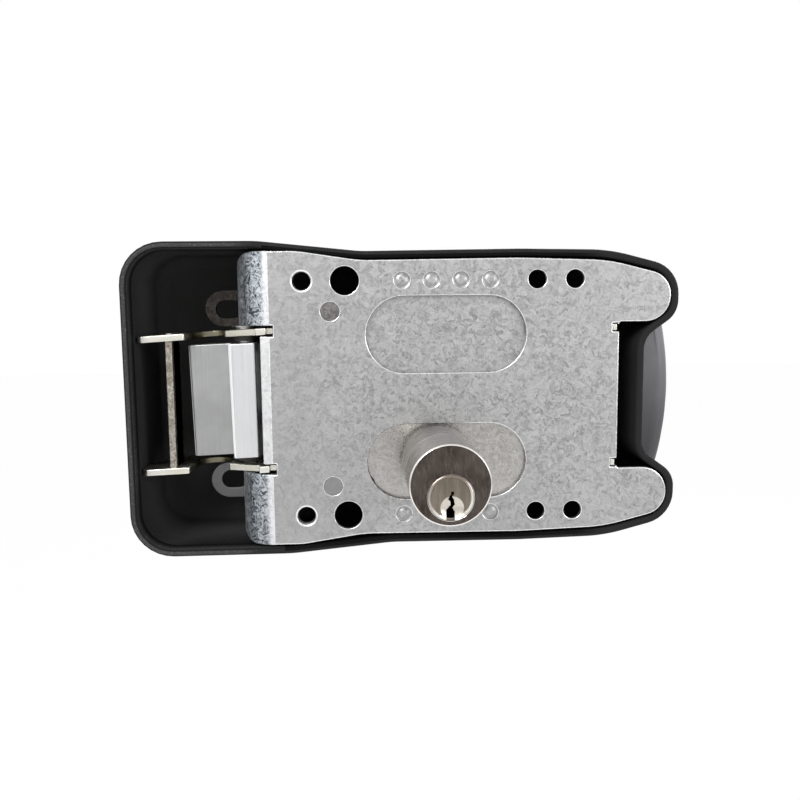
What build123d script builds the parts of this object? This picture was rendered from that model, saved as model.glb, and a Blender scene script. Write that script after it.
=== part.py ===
"""Electric rim lock for a gate: steel back plate, rotary claw, solenoid release and plastic cover.

The frame has X along the lock, Z up and Y into the lock. The plane y = 0 is the outer face of the
back plate, which lies against the gate, and the origin is the middle of the plate's two slots.
"""

import os
from math import cos, radians, sin, sqrt

from build123d import *

os.makedirs("parts", exist_ok=True)

# Cover: a nylon bowl whose rim is level with the back plate's outer face
COVER_LEFT = -113.0
COVER_TALL_HALF = 55.6
COVER_WAIST_HALF = 51.9
COVER_RIGHT = 83.5
COVER_LOBE_TOP = 45.3
COVER_LOBE_LOW = 29.2
COVER_RECESS_X = 71.4
COVER_RECESS_HALF = 20.5
COVER_DEPTH = 49.0
COVER_WALL = 2.6
COVER_FRONT_WALL = 3.0
COVER_FRONT_ROUND = 8.0
COVER_PLATE_GAP = 0.5
COVER_CORNER_R = 15.0

# Back plate: galvanised sheet with a rolled left edge
SHEET = 2.0
BEND_START_X = -62.0
BEND_R = 12.0
FLAP_INNER_Z = 26.4
FLAP_OUTER_Z = 51.2
FLAP_CORNER_R = 5.0
EAR_Y = 22.0
EAR_Z = 32.2
EAR_HALF = 7.3
EAR_TIP_X = -88.0
EAR_HOLE_D = 6.6
EAR_SLOT = 3.0
EAR_FLANGE = 6.0
STRIP_HALF = 22.6
NOTCH_X = 62.0
NOTCH_HALF = 26.4
HOLE_ROW_Z = 41.7
CORNER_HOLE_X = -50.6
CORNER_HOLE_D = 6.2
CORNER_COLLAR_D = 8.4
CORNER_COLLAR_H = 2.0
BIG_HOLE_X = -35.6
BIG_HOLE_D = 10.0
SCREW_HOLE_XS = (32.3, 45.8)
SCREW_HOLE_D = 6.5
DIMPLE_PITCH = 10.4
DIMPLE_D = 5.6
DIMPLE_DEEP = 0.35
POST_X = -40.9
POST_Z = 31.1
POST_HEAD_D = 6.6
POST_D = 7.4
SLOT_Z = 22.7
SLOT_HALF_LONG = 28.5
SLOT_HALF_TALL = 13.6

# Side plates: zinc-plated steel, one above and one below the claw
SIDE_Z = 24.5
SIDE_SHEET = 2.4
SIDE_LEFT = -110.0
SIDE_RIGHT = 61.3
SIDE_DEEP = 36.5
SIDE_TIP_Y = 7.5
SIDE_HEEL_Y = 3.2
SIDE_LIP_Y = 10.0
SIDE_TAB_Y = 0.6
SIDE_WINDOW_LEFT = -52.0
SIDE_WINDOW_RIGHT = 52.0
SIDE_WINDOW_Y = 11.0
SIDE_TAB_GAP = 0.15
MOUTH_X = -86.0
MOUTH_HALF = 6.9
MOUTH_SEAT_Y = 19.5
TIE_X = -99.0
TIE_SHEET = 2.5
TIE_Y = 9.0
TIE_DEEP = 14.0

# Claw: an aluminium extrusion that turns about an upright axle
CLAW_AXLE_X = -72.0
CLAW_AXLE_Y = 17.5
CLAW_AXLE_D = 8.0
CLAW_HALF = 20.6
CLAW_HUB_R = 7.6
CLAW_RIM_R = 10.5
CLAW_LEG_LEFT = -92.6
CLAW_LEG_Y = 14.3
CLAW_LEG_THICK = 6.0
CLAW_LIP_LEFT = -76.7
CLAW_LIP_RIGHT = -67.4
CLAW_LIP_Y = 4.4
CLAW_TURN = 48.0
RUN_GAP = 0.06

# Pawl: a steel strut that holds the claw shut, lifted by the solenoid or the key
PAWL_NOSE_ANGLE = -30.0
PAWL_NOSE_GAP = 0.35
PAWL_LONG = 22.0
PAWL_THICK = 6.0
PAWL_AXLE_D = 6.0
PAWL_BOSS_R = 5.6
PAWL_Z_LOW = -5.0
PAWL_Z_HIGH = 17.0
PAWL_LIFT = 8.0
CRANK_DROP = 12.0
CRANK_WIDE = 2.5
CRANK_ARM = 6.0
CRANK_OFFSET = 7.0
NECK_GAP = 0.8

# Solenoid
COIL_Z = 12.0
FRAME_SHEET = 2.0
FRAME_LONG = 38.0
FRAME_HALF = 10.5
FRAME_LEFT = -32.0
COIL_D = 18.0
BOBBIN_FLANGE = 1.5
ARMATURE_D = 8.0
ARMATURE_NECK_D = 3.6
BORE_GAP = 0.1

# Cylinder: round profile with the turning plug below its centre
CYL_X = -3.4
CYL_Z = -22.6
CYL_D = 26.0
CYL_OUT = 40.3
PLUG_DROP = 3.9
PLUG_D = 13.0
PLUG_RIM = 14.6
PLUG_RIM_H = 1.0
CARRIER_SHEET = 1.5
CAM_THICK = 2.4
CAM_REACH = 6.0
CAM_TIP_R = 2.5
CAM_START = 7.0

# Key release bar: an angle section that the cam lifts
BAR_SHEET = 1.6
BAR_LIFT = 4.0
BAR_LEFT = -61.0
BAR_RIGHT = 30.0
BAR_GAP = 0.3
FINGER = 3.0
TOUCH_GAP = 0.35

# Inside front: mechanism plate, terminals, switch and push button
MECH_SHEET = 1.5
BUTTON_X = 16.0
BUTTON_D = 27.0
BUTTON_OUT = 2.5
BUTTON_TRAVEL = 2.0
BUTTON_GAP = 0.3

# Grip: the grey front end that overhangs the finger recess
GRIP_REACH = 91.9
GRIP_CORNER_R = 8.0
GRIP_HALF = 44.0
GRIP_BEHIND = 22.0
GRIP_OVER = 4.0
GRIP_BACK_Y = COVER_DEPTH - GRIP_BEHIND
GRIP_FRONT_Y = COVER_DEPTH + GRIP_OVER
GRIP_WALL = 2.4
GRIP_LEFT = 60.0


# Places that follow from the sizes above
FIT_GAP = 0.02
EAR_HOLE_X = -79.0
STRIP_X = -66.5
SIDE_SLOT_END_X = -60.9
SIDE_HEEL_X = -67.0
SIDE_STEP_X = -41.0
TAB_NOTCH = 2.4
MECH_Y = 33.0
SPACER_D = 8.0
SPACER_END_D = 5.0
SPACER_PLACES = [(20.0, 24.2), (50.0, 20.0)]
DIMPLE_XS = [DIMPLE_PITCH * step for step in (-1.5, -0.5, 0.5, 1.5)]
NOSE_X = CLAW_AXLE_X + (CLAW_RIM_R + PAWL_NOSE_GAP) * cos(radians(PAWL_NOSE_ANGLE))
NOSE_Y = CLAW_AXLE_Y + (CLAW_RIM_R + PAWL_NOSE_GAP) * sin(radians(PAWL_NOSE_ANGLE))
STRUT_X = -sin(radians(PAWL_NOSE_ANGLE))
STRUT_Y = cos(radians(PAWL_NOSE_ANGLE))
PAWL_AXLE_X = NOSE_X + PAWL_LONG * STRUT_X + PAWL_THICK / 2 * STRUT_Y
PAWL_AXLE_Y = NOSE_Y + PAWL_LONG * STRUT_Y - PAWL_THICK / 2 * STRUT_X
COIL_Y = PAWL_AXLE_Y - CRANK_DROP
PLUG_Z = CYL_Z - PLUG_DROP
CRANK_X = PAWL_AXLE_X + CRANK_OFFSET
AXLE_HEAD_H = 0.5
BUSH_GAP = 0.15
RIM_MARGIN = 3.0
CLAW_SPRING_ROOM = 8.0
SPRING_LEG_Z = -6.4
SPRING_WIRE = 0.9
CRANK_TALL = 8.0
BAR_Y_LOW = 5.9
BAR_Y_HIGH = 18.0
BAR_Z = PLUG_Z + CAM_REACH * sin(radians(CAM_START)) + CAM_TIP_R + BAR_GAP
FINGER_X = -55.0
FINGER_Z = -14.0
FINGER_LOW_Y = BAR_Y_LOW - 1.0
FINGER_HIGH_Y = 17.0
TONGUE_RIGHT = -47.0
TONGUE_TOP = -9.8
WINDOW_UP = 2.2
WINDOW_DOWN = 6.0
WINDOW_WIDE = 3.8
WINDOW_LEAN = radians(PAWL_LIFT) * (PAWL_AXLE_Y - BAR_Y_LOW - BAR_SHEET / 2) / BAR_LIFT
WINDOW_LEFT = FINGER_X - FINGER / 2 * (1 + WINDOW_LEAN) - TOUCH_GAP
SIDE_LUG_XS = (-26.0, 30.0)
SIDE_LUG_WIDE = 8.0
SIDE_LUG_TALL = 2.2
LEAD_START_X = 0.0
LEAD_RUN_Y = 29.5
LEAD_HOLE_X = 36.0
LEAD_HOLE_LONG = 12.0
LEAD_HOLE_Z = 6.4
LEAD_D = 1.5
TERMINAL_X = 47.0
TERMINAL_WIDE = 12.0
TERMINAL_LONG = 26.0
TERMINAL_TALL = 9.0
TERMINAL_WELL = 4.5
TERMINAL_SCREW_D = 3.4
TERMINAL_ZS = (-9.6, -3.2, 3.2, 9.6)
TERMINAL_PLACES = [(TERMINAL_X, z) for z in TERMINAL_ZS]
TERMINAL_WIRE_DEEP = 4.0
WIRE_ENTRY_Y = 2.2
SWITCH_LONG = 20.0
SWITCH_WIDE = 6.4
SWITCH_TALL = 5.5
PLUNGER_D = 2.4
PLUNGER_LONG = 4.0
BUTTON_FLANGE = 1.5
BUTTON_WALL = 1.6
BUTTON_TOP = 2.0
BUTTON_STEM_D = 5.0
BUTTON_SPRING_R = 11.1
BUTTON_SPRING_TURNS = 4
BUTTON_SPRING_LONG = COVER_DEPTH + BUTTON_OUT - BUTTON_TOP - MECH_Y - MECH_SHEET - SPRING_WIRE - 0.2
POST_SCREW_D = 4.0
POST_SCREW_LONG = 10.0
GRIP_SCREW_X = 66.0
GRIP_SCREW_Z = 30.0
GRIP_SCREW_D = 3.5
GRIP_SCREW_HEAD_D = 6.5
GRIP_SCREW_HEAD_H = 2.0
GRIP_SCREW_PLACES = [(GRIP_SCREW_X, GRIP_SCREW_Z), (GRIP_SCREW_X, -GRIP_SCREW_Z)]
GRIP_EDGE_X = 83.6
GUIDE_PLACES = [(-38.0, 14.5), (22.0, 14.5)]
GUIDE_D = 4.0
GUIDE_HEAD_D = 6.5
GUIDE_TOP = -8.5
BAR_SPRING_R = 2.9
BAR_SPRING_TURNS = 5
BAR_SPRING_LONG = GUIDE_TOP - BAR_Z - BAR_SHEET - SPRING_WIRE - 0.2
FRAME_SCREW_PLACES = [(-22.0, 22.0), (-4.0, 22.0)]
FRAME_SCREW_D = 3.0
CORE_LONG = 14.0
ARMATURE_GAP = 2.2
ARMATURE_LEFT = CRANK_X - CRANK_WIDE / 2 - NECK_GAP - 3.0
PIN_D = 2.7
PIN_FIRST_Y = -34.0
PIN_PITCH = 4.4
PIN_YS = [PIN_FIRST_Y + PIN_PITCH * step for step in range(5)]
KEY_PIN_LOWS = [PLUG_Z + low * PIN_D for low in (0.74, 0.52, 0.89, 0.63, 0.78)]
DRIVER_LONG = 5.0
PLUG_TAIL_Y = 5.8
TAIL_WIDE = 4.0
CAM_HUB_R = 3.4
KEYWAY = 1.5
KEYWAY_JOG = 0.8
KEYWAY_DEEP = 30.0
CYL_SCREW_OUT = 9.2
CYL_SCREW_UP = 3.5
CYL_SCREW_PLACES = [(CYL_X + side * CYL_SCREW_OUT, CYL_Z + CYL_SCREW_UP) for side in (-1, 1)]
CYL_SCREW_D = 4.0
CYL_SCREW_DEEP = 12.0
SLOT_PLATE_LAP = 3.0
SLOT_PLATE_LIP = 1.5
CYL_SCREW_HEAD_D = 7.2
CARRIER_HALF = 33.0
CARRIER_NARROW = 26.0
CARRIER_NOTCH = 11.2
CARRIER_TOP = -7.6
CARRIER_LOW = -37.8
CARRIER_STEP = -25.4


def finish(part, name, tint):
    """Label a finished piece, give it a colour and write it out."""
    part.label = name
    part.color = Color(*tint)
    export_step(part, f"parts/{name}.step")
    print(name, "solids", len(part.solids()), "volume", round(part.volume, 1))


UPPER_CORNERS = [
    ((COVER_LEFT, COVER_TALL_HALF), COVER_CORNER_R),
    ((-66.0, COVER_TALL_HALF), 60.0),
    ((-30.0, COVER_WAIST_HALF), 50.0),
    ((26.0, COVER_WAIST_HALF + 0.5), 120.0),
    ((58.0, COVER_WAIST_HALF), 60.0),
    ((COVER_RIGHT, COVER_LOBE_TOP), 12.0),
    ((COVER_RIGHT, COVER_LOBE_LOW), 9.0),
    ((COVER_RECESS_X, COVER_RECESS_HALF), 8.0),
]
LOWER_CORNERS = [
    ((COVER_RECESS_X, -COVER_RECESS_HALF), 8.0),
    ((COVER_RIGHT, -COVER_LOBE_LOW), 9.0),
    ((COVER_RIGHT, -COVER_LOBE_TOP), 12.0),
    ((58.0, -COVER_WAIST_HALF), 60.0),
    ((26.0, -COVER_WAIST_HALF - 0.7), 120.0),
    ((-20.0, -COVER_WAIST_HALF - 0.4), 50.0),
    ((-56.0, -COVER_TALL_HALF), 60.0),
    ((COVER_LEFT, -COVER_TALL_HALF), COVER_CORNER_R),
]
RIM_POINTS = [point for point, radius in UPPER_CORNERS + LOWER_CORNERS]
RIM_RADII = [radius for point, radius in UPPER_CORNERS + LOWER_CORNERS]


def at_depth(y):
    """The plane at depth y, with X to the right and Z up, whose negative side goes deeper."""
    return Plane.XZ.offset(-y)


STEEL = (0.72, 0.74, 0.76)
ZINC = (0.78, 0.76, 0.60)
ALUMINIUM = (0.85, 0.86, 0.88)
NYLON = (0.07, 0.07, 0.07)
GREY = (0.38, 0.38, 0.40)
BRASS = (0.72, 0.6, 0.35)

with BuildPart() as rolled_edge:
    with BuildSketch(Plane.XY.offset(-FLAP_OUTER_Z)):
        with Locations((BEND_START_X, BEND_R)):
            Circle(BEND_R)
            Circle(BEND_R - SHEET, mode=Mode.SUBTRACT)
            Rectangle(BEND_R, BEND_R, align=(Align.MAX, Align.MAX), mode=Mode.INTERSECT)
        with Locations((BEND_START_X - BEND_R, BEND_R)):
            Rectangle(SHEET, EAR_Y - BEND_R, align=(Align.MIN, Align.MIN))
    extrude(amount=2 * FLAP_OUTER_Z)
    with BuildSketch(at_depth(0)):
        with Locations((BEND_START_X, 0)):
            RectangleRounded(2 * BEND_R, 2 * FLAP_OUTER_Z, FLAP_CORNER_R)
    extrude(amount=-EAR_Y, mode=Mode.INTERSECT)

with BuildPart() as back_plate:
    with BuildSketch(at_depth(0)):
        with BuildLine():
            FilletPolyline(RIM_POINTS, radius=RIM_RADII, close=True)
        make_face()
        offset(amount=-(COVER_WALL + COVER_PLATE_GAP), kind=Kind.INTERSECTION, mode=Mode.REPLACE)
        with Locations((BEND_START_X, 0)):
            Rectangle(-COVER_LEFT, 2 * COVER_TALL_HALF, align=(Align.MAX, Align.CENTER), mode=Mode.SUBTRACT)
        with Locations((NOTCH_X, 0)):
            Rectangle(COVER_RIGHT, 2 * NOTCH_HALF, align=(Align.MIN, Align.CENTER), mode=Mode.SUBTRACT)
        with Locations((0, SLOT_Z), (0, -SLOT_Z)):
            SlotOverall(2 * SLOT_HALF_LONG, 2 * SLOT_HALF_TALL, mode=Mode.SUBTRACT)
    extrude(amount=-SHEET)
    add(rolled_edge.part)
    with BuildSketch(at_depth(-SHEET)):
        with Locations((STRIP_X, 0)):
            Rectangle(2 * BEND_R, 2 * FLAP_INNER_Z, align=(Align.MAX, Align.CENTER))
        with Locations((SIDE_SLOT_END_X, (STRIP_HALF + FLAP_INNER_Z) / 2),
                       (SIDE_SLOT_END_X, -(STRIP_HALF + FLAP_INNER_Z) / 2)):
            Rectangle(2 * BEND_R, FLAP_INNER_Z - STRIP_HALF, align=(Align.MAX, Align.CENTER))
        with Locations((NOTCH_X, SIDE_Z), (NOTCH_X, -SIDE_Z)):
            Rectangle(TAB_NOTCH, SIDE_SHEET + 2 * SIDE_TAB_GAP, align=(Align.MAX, Align.CENTER))
    extrude(amount=-(EAR_Y + 3 * SHEET), mode=Mode.SUBTRACT)
    with BuildSketch(at_depth(SHEET)):
        with Locations((CORNER_HOLE_X, HOLE_ROW_Z), (CORNER_HOLE_X, -HOLE_ROW_Z)):
            Circle(CORNER_COLLAR_D / 2)
    extrude(amount=-CORNER_COLLAR_H)
    with BuildSketch(at_depth(0)):
        with Locations((CORNER_HOLE_X, HOLE_ROW_Z), (CORNER_HOLE_X, -HOLE_ROW_Z)):
            Circle(CORNER_HOLE_D / 2)
        with Locations((BIG_HOLE_X, HOLE_ROW_Z), (BIG_HOLE_X, -HOLE_ROW_Z)):
            Circle(BIG_HOLE_D / 2)
        with Locations(*[(x, z) for x in SCREW_HOLE_XS for z in (HOLE_ROW_Z, -HOLE_ROW_Z)]):
            Circle(SCREW_HOLE_D / 2)
        with Locations((POST_X, POST_Z), (POST_X, -POST_Z)):
            Circle(POST_HEAD_D / 2)
    extrude(amount=-(SHEET + CORNER_COLLAR_H), mode=Mode.SUBTRACT)
    with BuildSketch(at_depth(0)):
        with Locations(*[(x, z) for x in DIMPLE_XS for z in (HOLE_ROW_Z, -HOLE_ROW_Z)]):
            Circle(DIMPLE_D / 2)
    extrude(amount=-DIMPLE_DEEP, mode=Mode.SUBTRACT)
finish(back_plate.part, "back_plate", STEEL)

# Ears: two angle pieces spot-welded inside the rolled edge, whose eyes take the front case's screws
FLANGE_X = BEND_START_X - BEND_R + SHEET
with BuildPart() as plate_ears:
    with BuildSketch(at_depth(EAR_Y)):
        with Locations((EAR_TIP_X + EAR_HALF, EAR_Z), (EAR_TIP_X + EAR_HALF, -EAR_Z)):
            Circle(EAR_HALF)
            Rectangle(FLANGE_X + SHEET - EAR_TIP_X - EAR_HALF, 2 * EAR_HALF, align=(Align.MIN, Align.CENTER))
        with Locations((EAR_HOLE_X, EAR_Z), (EAR_HOLE_X, -EAR_Z)):
            SlotOverall(EAR_HOLE_D + EAR_SLOT, EAR_HOLE_D, mode=Mode.SUBTRACT)
        with Locations((0, 0)):
            Rectangle(-2 * EAR_TIP_X, 2 * FLAP_INNER_Z, mode=Mode.SUBTRACT)
    extrude(amount=-SHEET)
    with BuildSketch(at_depth(EAR_Y - EAR_FLANGE)):
        with Locations((FLANGE_X, EAR_Z), (FLANGE_X, -EAR_Z)):
            Rectangle(SHEET, 2 * EAR_HALF, align=(Align.MIN, Align.CENTER))
        with Locations((0, 0)):
            Rectangle(-2 * EAR_TIP_X, 2 * FLAP_INNER_Z, mode=Mode.SUBTRACT)
    extrude(amount=-EAR_FLANGE)
finish(plate_ears.part, "plate_ears", STEEL)

SIDE_PROFILE = [
    ((SIDE_LEFT, SIDE_TIP_Y), 2.0),
    ((MOUTH_X - MOUTH_HALF, SIDE_TIP_Y), 1.0),
    ((MOUTH_X - MOUTH_HALF, MOUTH_SEAT_Y + MOUTH_HALF), MOUTH_HALF - 0.05),
    ((MOUTH_X + MOUTH_HALF, MOUTH_SEAT_Y + MOUTH_HALF), MOUTH_HALF - 0.05),
    ((MOUTH_X + MOUTH_HALF, SIDE_LIP_Y), 1.0),
    ((SIDE_HEEL_X, SIDE_HEEL_Y), 1.0),
    ((SIDE_HEEL_X, SIDE_TAB_Y), 0.0),
    ((SIDE_SLOT_END_X - SIDE_TAB_GAP, SIDE_TAB_Y), 0.0),
    ((SIDE_SLOT_END_X - SIDE_TAB_GAP, SHEET), 0.0),
    ((SIDE_WINDOW_LEFT, SHEET), 0.0),
    ((SIDE_WINDOW_LEFT, SIDE_WINDOW_Y), 3.0),
    ((SIDE_WINDOW_RIGHT, SIDE_WINDOW_Y), 3.0),
    ((SIDE_WINDOW_RIGHT, SHEET), 0.0),
    ((NOTCH_X - TAB_NOTCH + SIDE_TAB_GAP, SHEET), 0.0),
    ((NOTCH_X - TAB_NOTCH + SIDE_TAB_GAP, SIDE_TAB_Y), 0.0),
    ((SIDE_RIGHT, SIDE_TAB_Y), 0.0),
    ((SIDE_RIGHT, MECH_Y), 0.0),
    ((SIDE_LUG_XS[1] + SIDE_LUG_WIDE / 2, MECH_Y), 0.0),
    ((SIDE_LUG_XS[1] + SIDE_LUG_WIDE / 2, MECH_Y + SIDE_LUG_TALL), 0.5),
    ((SIDE_LUG_XS[1] - SIDE_LUG_WIDE / 2, MECH_Y + SIDE_LUG_TALL), 0.5),
    ((SIDE_LUG_XS[1] - SIDE_LUG_WIDE / 2, MECH_Y), 0.0),
    ((SIDE_LUG_XS[0] + SIDE_LUG_WIDE / 2, MECH_Y), 0.0),
    ((SIDE_LUG_XS[0] + SIDE_LUG_WIDE / 2, MECH_Y + SIDE_LUG_TALL), 0.5),
    ((SIDE_LUG_XS[0] - SIDE_LUG_WIDE / 2, MECH_Y + SIDE_LUG_TALL), 0.5),
    ((SIDE_LUG_XS[0] - SIDE_LUG_WIDE / 2, MECH_Y), 0.0),
    ((SIDE_STEP_X, MECH_Y), 0.0),
    ((SIDE_STEP_X, SIDE_DEEP), 1.0),
    ((-70.0, SIDE_DEEP), 10.0),
    ((-97.0, SIDE_DEEP - 3.0), 10.0),
    ((SIDE_LEFT, SIDE_DEEP - 16.0), 5.0),
]


for side_name, side_sign in (("upper_side_plate", 1), ("lower_side_plate", -1)):
    with BuildPart() as side_plate:
        with BuildSketch(Plane.XY.offset(side_sign * SIDE_Z - SIDE_SHEET / 2)):
            with BuildLine():
                FilletPolyline([p for p, r in SIDE_PROFILE], radius=[r for p, r in SIDE_PROFILE], close=True)
            make_face()
            with Locations((CLAW_AXLE_X, CLAW_AXLE_Y)):
                Circle(CLAW_AXLE_D / 2 + FIT_GAP, mode=Mode.SUBTRACT)
            with Locations((PAWL_AXLE_X, PAWL_AXLE_Y)):
                Circle(PAWL_AXLE_D / 2 + FIT_GAP, mode=Mode.SUBTRACT)
            with Locations(*SPACER_PLACES):
                Circle(SPACER_END_D / 2 + FIT_GAP, mode=Mode.SUBTRACT)
            with Locations((TIE_X, TIE_Y + TIE_DEEP / 2)):
                Rectangle(TIE_SHEET + 2 * FIT_GAP, TIE_DEEP - 4.0, mode=Mode.SUBTRACT)
            with Locations(*(FRAME_SCREW_PLACES if side_sign > 0 else GUIDE_PLACES)):
                Circle((FRAME_SCREW_D if side_sign > 0 else GUIDE_D) / 2 + FIT_GAP, mode=Mode.SUBTRACT)
        extrude(amount=SIDE_SHEET)
    finish(side_plate.part, side_name, ZINC)

SIDE_INNER = SIDE_Z - SIDE_SHEET / 2
SIDE_OUTER = SIDE_Z + SIDE_SHEET / 2

with BuildPart() as fork_tie_bar:
    with BuildSketch(Plane.YZ.offset(TIE_X - TIE_SHEET / 2)):
        with Locations((TIE_Y + TIE_DEEP / 2, 0)):
            Rectangle(TIE_DEEP, 2 * SIDE_INNER)
            Rectangle(TIE_DEEP - 4.0 - 2 * FIT_GAP, 2 * SIDE_OUTER)
    extrude(amount=TIE_SHEET)
finish(fork_tie_bar.part, "fork_tie_bar", ZINC)

with BuildPart() as cross_spacers:
    with BuildSketch(Plane.XY.offset(-SIDE_INNER)):
        with Locations(*SPACER_PLACES):
            Circle(SPACER_D / 2)
    extrude(amount=2 * SIDE_INNER)
    with BuildSketch(Plane.XY.offset(-SIDE_OUTER)):
        with Locations(*SPACER_PLACES):
            Circle(SPACER_END_D / 2)
    extrude(amount=2 * SIDE_OUTER)
finish(cross_spacers.part, "cross_spacers", STEEL)

# The claw turns on a plain axle riveted into both side plates, between two bushes
with BuildPart() as claw_axle:
    with BuildSketch(Plane.XY.offset(-SIDE_OUTER)):
        with Locations((CLAW_AXLE_X, CLAW_AXLE_Y)):
            Circle(CLAW_AXLE_D / 2)
    extrude(amount=2 * SIDE_OUTER)
    with BuildSketch(Plane.XY.offset(SIDE_OUTER), Plane.XY.offset(-SIDE_OUTER - AXLE_HEAD_H)):
        with Locations((CLAW_AXLE_X, CLAW_AXLE_Y)):
            Circle(CLAW_AXLE_D / 2 + 1.5)
    extrude(amount=AXLE_HEAD_H)
finish(claw_axle.part, "claw_axle", STEEL)

with BuildPart() as claw_bushes:
    with BuildSketch(Plane.XY.offset(CLAW_HALF + BUSH_GAP), Plane.XY.offset(-SIDE_INNER)):
        with Locations((CLAW_AXLE_X, CLAW_AXLE_Y)):
            Circle(CLAW_HUB_R - 1.0)
            Circle(CLAW_AXLE_D / 2 + FIT_GAP, mode=Mode.SUBTRACT)
    extrude(amount=SIDE_INNER - CLAW_HALF - BUSH_GAP)
finish(claw_bushes.part, "claw_bushes", BRASS)

with BuildPart() as claw:
    with BuildSketch(Plane.XY.offset(-CLAW_HALF)):
        with Locations((CLAW_AXLE_X, CLAW_AXLE_Y)):
            Circle(CLAW_HUB_R)
        with BuildLine():
            FilletPolyline(
                [
                    (CLAW_LEG_LEFT, CLAW_LEG_Y),
                    (CLAW_LIP_LEFT, CLAW_LEG_Y),
                    (CLAW_LIP_LEFT, CLAW_LIP_Y),
                    (CLAW_LIP_RIGHT, CLAW_LIP_Y),
                    (CLAW_LIP_RIGHT, CLAW_LEG_Y + CLAW_LEG_THICK),
                    (CLAW_LEG_LEFT, CLAW_LEG_Y + CLAW_LEG_THICK),
                ],
                radius=[1.2, 1.5, 1.6, 1.0, 1.0, 2.0],
                close=True,
            )
        make_face()
        with BuildLine():
            rim_arc = CenterArc((CLAW_AXLE_X, CLAW_AXLE_Y), CLAW_RIM_R, PAWL_NOSE_ANGLE - RIM_MARGIN,
                                CLAW_TURN + 2 * RIM_MARGIN)
            Line(rim_arc @ 1, (CLAW_AXLE_X, CLAW_AXLE_Y))
            Line((CLAW_AXLE_X, CLAW_AXLE_Y), rim_arc @ 0)
        make_face()
        with Locations((CLAW_AXLE_X, CLAW_AXLE_Y)):
            Circle(CLAW_AXLE_D / 2 + RUN_GAP, mode=Mode.SUBTRACT)
    extrude(amount=2 * CLAW_HALF)
    with BuildSketch(Plane.XY.offset(-CLAW_SPRING_ROOM)):
        with Locations((CLAW_AXLE_X, CLAW_AXLE_Y)):
            Circle(CLAW_HUB_R - 1.0)
        with Locations((CLAW_AXLE_X, CLAW_AXLE_Y + CLAW_HUB_R / 2)):
            Rectangle(2 * CLAW_HUB_R - 2.0, CLAW_HUB_R + 4.0)
    extrude(amount=2 * CLAW_SPRING_ROOM, mode=Mode.SUBTRACT)
finish(claw.part, "claw", ALUMINIUM)

with BuildPart() as claw_spring:
    with BuildSketch(Plane.XY.offset(-CLAW_SPRING_ROOM + 1.0)):
        with Locations((CLAW_AXLE_X, CLAW_AXLE_Y)):
            Circle(CLAW_HUB_R - 1.6)
            Circle(CLAW_AXLE_D / 2 + 0.3, mode=Mode.SUBTRACT)
    extrude(amount=2 * (CLAW_SPRING_ROOM - 1.0))
    with BuildLine():
        spring_leg = Line(
            (CLAW_AXLE_X, CLAW_AXLE_Y + CLAW_HUB_R - 2.4, SPRING_LEG_Z),
            (PAWL_AXLE_X, PAWL_AXLE_Y - PAWL_AXLE_D / 2 - SPRING_WIRE / 2 - TOUCH_GAP, SPRING_LEG_Z),
        )
    with BuildSketch(Plane(origin=spring_leg @ 0, z_dir=spring_leg % 0)):
        Circle(SPRING_WIRE / 2)
    sweep(path=spring_leg)
finish(claw_spring.part, "claw_spring", STEEL)

with BuildPart() as pawl_axle:
    with BuildSketch(Plane.XY.offset(-SIDE_OUTER)):
        with Locations((PAWL_AXLE_X, PAWL_AXLE_Y)):
            Circle(PAWL_AXLE_D / 2)
    extrude(amount=2 * SIDE_OUTER)
    with BuildSketch(Plane.XY.offset(SIDE_OUTER), Plane.XY.offset(-SIDE_OUTER - AXLE_HEAD_H)):
        with Locations((PAWL_AXLE_X, PAWL_AXLE_Y)):
            Circle(PAWL_AXLE_D / 2 + 1.2)
    extrude(amount=AXLE_HEAD_H)
finish(pawl_axle.part, "pawl_axle", STEEL)

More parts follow.
